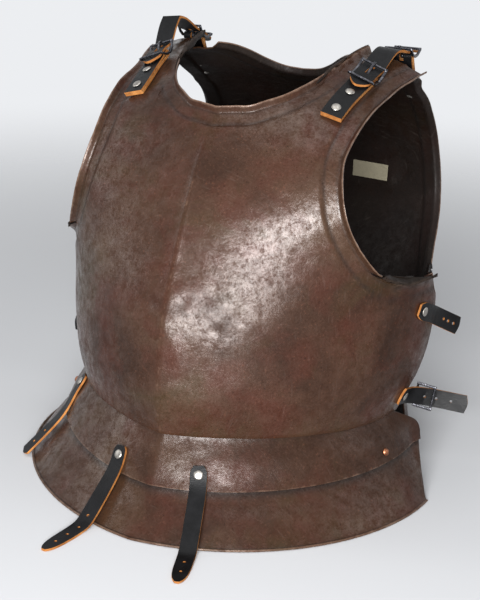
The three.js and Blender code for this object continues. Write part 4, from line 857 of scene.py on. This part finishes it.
def skirtSkin(skirt):
    outward = -skirt["facing"]

    def skin(angle, step):
        turn = abs(angle)
        value = {key: through(skirt["step"], skirt[key], step)
                 for key in ("midRise", "midOut", "sideWidth", "sideOut", "sideRise", "ridges")}
        bend = min(turn, quarterTurn)
        tail = max(0, turn - quarterTurn)
        sine = math.sin(bend)
        fall = 1 - math.cos(bend)
        width = skirt["halfWidth"] * value["sideWidth"]
        pull = value["ridges"] * sine + (1 - value["ridges"]) * fall
        out = skirt["depth"] * (value["midOut"] + (value["sideOut"] - value["midOut"]) * pull)
        x = width * (sine + skirt["tailFlare"] * tail) * (1 if angle >= 0 else -1)
        z = skirt["rise"] * (value["midRise"] + (value["sideRise"] - value["midRise"]) * fall)
        return Vector((x, outward * (out - width * tail), z))

    return skin


def skirtRows(skirt, lowStep, highStep, liftAt, paintedShadeAt, hemmed, offset):
    skin = skirtSkin(skirt)
    facing = skirt["facing"]
    columns = lameSizes["columns"]
    rows = []
    rowShares = [0.5 * (1 - math.cos(math.pi * k / lameSizes["rows"])) for k in range(lameSizes["rows"] + 1)]
    for rowShare in rowShares:
        row = []
        for j in range(-columns, columns + 1):
            share = abs(j) / columns
            top = highStep(share)
            step = lowStep + (top - lowStep) * rowShare
            endShare = through(skirt["step"], skirt["endAngle"], lowStep + (highStep(1) - lowStep) * rowShare)
            angle = share * endShare * quarterTurn * (1 if j >= 0 else -1)
            place = skin(angle, step)
            normal = outwardOf(skin, facing, abs(angle), step)
            if j < 0:
                normal.x = -normal.x
            wave = noise.noise(place * lameSizes["waveScale"] + Vector((offset, 0, 0)))
            lift = liftAt(step) + lameSizes["waveRise"] * wave
            edge = min(step - lowStep, lameSizes["edgeStep"]) / lameSizes["edgeStep"]
            # the lame's lower edge is rubbed lighter, partly wear, partly painted highlight; the last value on each
            # row is painted shade
            rubbedAndHighlit = lameSizes["edgeRubHighlight"] * (1 - smoothStep(0, lameSizes["edgeRubHighlightWidth"], edge))
            if hemmed:
                low = 1 - smoothStep(0, lameSizes["hemHeight"] * lameSizes["hemReach"], place.z)
                place = place + normal * lift * (1 - low)
                place = place + Vector((normal.x, normal.y, 0)).normalized() * lameSizes["hemBead"] * 0.5 * low
                place.z = max(lameSizes["hemFoot"], place.z) if rowShare else lameSizes["hemFoot"]
            else:
                place = place + normal * lift * edge
            row.append((place, rubbedAndHighlit, paintedShadeAt(step)))
        rows.append(row)
    return rows


def hemRoll(name, rows, node, material, keepIn):
    # rolled bead, swept along the lame's lowest row and drawn in a little where it would stand past the solid
    lowest = [place - Vector((place.x, place.y, 0)).normalized() * keepIn for place, rubbedAndHighlit, paintedShadeAmount in rows[0]]
    height = (lameSizes["beadRadius"] + lameSizes["beadFloor"]) * mm
    curve = bpy.data.curves.new(name, "CURVE")
    curve.dimensions = "3D"
    curve.bevel_depth = lameSizes["beadRadius"] * mm
    curve.bevel_resolution = 3
    curve.use_fill_caps = True
    line = curve.splines.new("POLY")
    line.points.add(len(lowest) - 1)
    for point, place in zip(line.points, lowest):
        point.co = (place.x * mm, place.y * mm + originBack, height, 1)
    swept = bpy.data.objects.new(name + "Path", curve)
    bpy.context.scene.collection.objects.link(swept)
    mesh = bpy.data.meshes.new_from_object(swept.evaluated_get(bpy.context.evaluated_depsgraph_get()))
    bpy.data.objects.remove(swept)
    bm = bmesh.new()
    bm.from_mesh(mesh)
    bmesh.ops.recalc_face_normals(bm, faces=bm.faces)
    # the whole bead is rubbed lighter, partly wear, partly painted highlight
    rubAndHighlight = bm.verts.layers.float.new("rubAndHighlight")
    for vertex in bm.verts:
        vertex[rubAndHighlight] = lameSizes["beadRubHighlight"]
    bm.to_mesh(mesh)
    bm.free()
    mesh.name = name
    mesh.materials.clear()
    mesh.materials.append(material)
    for face in mesh.polygons:
        face.use_smooth = True
    piece = bpy.data.objects.new(name, mesh)
    bpy.context.scene.collection.objects.link(piece)
    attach(piece, bodyOf[node])
    return piece


nested = -(lameSizes["thickness"] + lameSizes["nestGap"])
# the last function of each lame paints shade: it darkens the lame near its top, under the breastplate's or
# backplate's lower edge, and on the lower lame under the upper lame's edge
upperRows = skirtRows(frontSkirt, lameSizes["seamStep"], lambda share: 1, lambda step: 0,
                      lambda step: 0.7 * smoothStep(0.74, 0.86, step), False, 1.7)
lowerRows = skirtRows(frontSkirt, 0, lambda share: 0.455 + 0.115 * smoothStep(0.5, 0.78, share),
                      lambda step: nested * smoothStep(0.18, 0.34, step),
                      lambda step: 0.9 * smoothStep(0.33, 0.41, step), True, 4.1)
rearRows = skirtRows(rearSkirt, 0, lambda share: 1, lambda step: 0,
                     lambda step: 0.7 * smoothStep(0.74, 0.86, step), True, 7.9)
wallPiece("fauld_upper_lame", upperRows, lameSizes["thickness"], [lameSteel, innerSteel], False)
wallPiece("fauld_lower_lame", lowerRows, lameSizes["thickness"], [lameSteel, innerSteel], False)
wallPiece("rear_skirt_lame", rearRows, lameSizes["thickness"], [lameSteel, innerSteel], True)
hemRoll("frontHemBead", lowerRows, "fauld_lower_lame", lameSteel, 0)
hemRoll("rearHemBead", rearRows, "rear_skirt_lame", lameSteel, lameSizes["rearKeepIn"])
print("skirt lames are shaped")


# leather
leather = {"edgeRadius": 0.35, "levels": 2, "thickness": 2.6}


def rivetPoles(bm):
    # the two middles of a turned piece are the corners whose edges are all alike
    def spread(vertex):
        lengths = [edge.calc_length() for edge in vertex.link_edges]
        return (max(lengths) - min(lengths)) / max(lengths)

    first, second = sorted((v for v in bm.verts if len(v.link_edges) == 6), key=spread)[:2]
    axis = (first.co - second.co).normalized()

    def reach(pole, way):
        near = [v for v in bm.verts if abs((v.co - pole.co).dot(way)) < (first.co - second.co).length / 2]
        return max(((v.co - pole.co) - way * (v.co - pole.co).dot(way)).length for v in near)

    if reach(first, axis) < reach(second, -axis):
        first, second = second, first
    return first.co.copy(), second.co.copy(), reach(first, (first.co - second.co).normalized())


def headOf(node):
    # where the rivet that holds a strap or tab shows its head, or None on a strap that has none
    words = node.split("_")
    kind = words.index("strap") if "strap" in words else words.index("tab")
    held = "_".join(words[:kind] + (["rivet"] if words[0] == "tasset" else [words[kind], "rivet"]) + words[kind + 1:])
    for name in (held, held + "_1"):
        if name in frame["nodes"]:
            bm = mergedCopy(name)
            head = rivetPoles(bm)[0]
            bm.free()
            return head
    return None


def sidesOf(bm, cut):
    # the finished side and the flesh side are the two patches that the cut edge parts
    left = {face for face in bm.faces if face not in cut}
    sides = []
    while left:
        patch = [left.pop()]
        for face in patch:
            for edge in face.edges:
                for other in edge.link_faces:
                    if other in left:
                        left.remove(other)
                        patch.append(other)
        sides.append(patch)
    return sides


def leatherPiece(node):
    bm = mergedCopy(node)
    tree = BVHTree.FromBMesh(bm)
    cut = set()
    for face in bm.faces:
        inward = -face.normal
        hit = tree.ray_cast(face.calc_center_median() + inward * 0.0001, inward, 0.1)
        if hit[0] is None or hit[3] > leather["thickness"] * 1.5 * mm:
            cut.add(face)
    head = headOf(node)

    def shown(patch):
        if head is None:
            return sum(face.normal.z * face.calc_area() for face in patch)
        return -min((face.calc_center_median() - head).length for face in patch)

    sides = [side for side in sidesOf(bm, cut) if sum(face.calc_area() for face in side) > 0.00004]
    finished = set(max(sides, key=shown))
    for face in bm.faces:
        face.material_index = 1 if face in cut else 0 if face in finished else 2
    joinFaces(bm, True)
    piece = addPiece(node + "_hide", bm, [blackLeather, cutEdge, rawUnderside], node)
    roundEdges(piece, "cutEdge", leather["edgeRadius"] * mm, 48)
    addModifier(piece, "bend", "SUBSURF", levels=leather["levels"], render_levels=leather["levels"])
    return piece


for node in sorted(frame["nodes"]):
    if slotOf[node] == "leather":
        leatherPiece(node)
print("straps and tabs are cut")


# buckles, prongs and rivets
wire = {"voxel": 0.4, "smoothing": 9}


def wirePiece(node):
    bm = mergedCopy(node)
    piece = addPiece(node + "_wire", bm, [gunmetalWire], node)
    addModifier(piece, "blend", "REMESH", mode="VOXEL", voxel_size=wire["voxel"] * mm, use_smooth_shade=True)
    addModifier(piece, "soften", "SMOOTH", factor=0.5, iterations=wire["smoothing"])
    return piece


for node in sorted(frame["nodes"]):
    if slotOf[node] == "gunmetal":
        wirePiece(node)
print("buckles and prongs are bent")


rivets = {
    "domeRise": 0.0028, "flatRise": 0.0017, "brimDepth": 0.0003, "shankRadius": 0.0018, "washerRise": 0.0011,
    "washerRadius": 0.0036, "tailRadius": 0.0026, "tailRise": 0.0004, "steps": 28, "edge": 0.0002,
    # a head's outline from its middle outwards: shares of radius and rise, or share of radius and depth in m
    "dome": [(0, 0), (0.35, -0.08), (0.65, -0.3), (0.88, -0.62), (1, -0.92)],
    "flat": [(0, 0), (0.3, -0.00004), (0.62, -0.00022), (0.8, -0.00045), (0.92, -0.0008), (1, -0.00122)],
}


def rivetPiece(node, domed):
    bm = mergedCopy(node)
    head, tail, radius = rivetPoles(bm)
    bm.free()
    outward = (head - tail).normalized()
    rise = rivets["domeRise"] if domed else rivets["flatRise"]
    length = (head - tail).length
    brim = -rise + rivets["brimDepth"]
    shank, washer = rivets["shankRadius"], rivets["washerRise"] - length
    cap = [(radius * a, rise * b if domed else b) for a, b in rivets["dome" if domed else "flat"]]
    profile = cap + [(radius, brim), (shank, brim), (shank, washer), (rivets["washerRadius"], washer),
                     (rivets["tailRadius"], rivets["tailRise"] - length), (0, -length)]
    bm = bmesh.new()
    corners = [bm.verts.new((a, 0, b)) for a, b in profile]
    edges = [bm.edges.new(pair) for pair in zip(corners, corners[1:])]
    bmesh.ops.spin(bm, geom=corners + edges, cent=(0, 0, 0), axis=(0, 0, 1), dvec=(0, 0, 0), angle=2 * math.pi,
                   steps=rivets["steps"], use_merge=True)
    bmesh.ops.remove_doubles(bm, verts=bm.verts, dist=0.00001)
    bmesh.ops.recalc_face_normals(bm, faces=bm.faces)
    place = outward.to_track_quat("Z", "Y").to_matrix().to_4x4()
    place.translation = head
    bmesh.ops.transform(bm, matrix=place, verts=bm.verts)
    piece = addPiece(node + "_turned", bm, [agedCopper if domed else nickelPlate], node)
    roundEdges(piece, "edge", rivets["edge"], 40)
    return piece


for node in sorted(frame["nodes"]):
    if "rivet" in node:
        rivetPiece(node, slotOf[node] == "copper")
print("rivets are set")


# the tag inside the backplate
def tagPiece(node):
    bm = mergedCopy(node)
    joinFaces(bm, False)
    piece = addPiece("tagCloth", bm, [wovenTag], node)
    roundEdges(piece, "edge", 0.25 * mm, 50)
    addModifier(piece, "bend", "SUBSURF", levels=2, render_levels=2)
    return piece


tagPiece("inner_tag")
print("the tag is sewn")
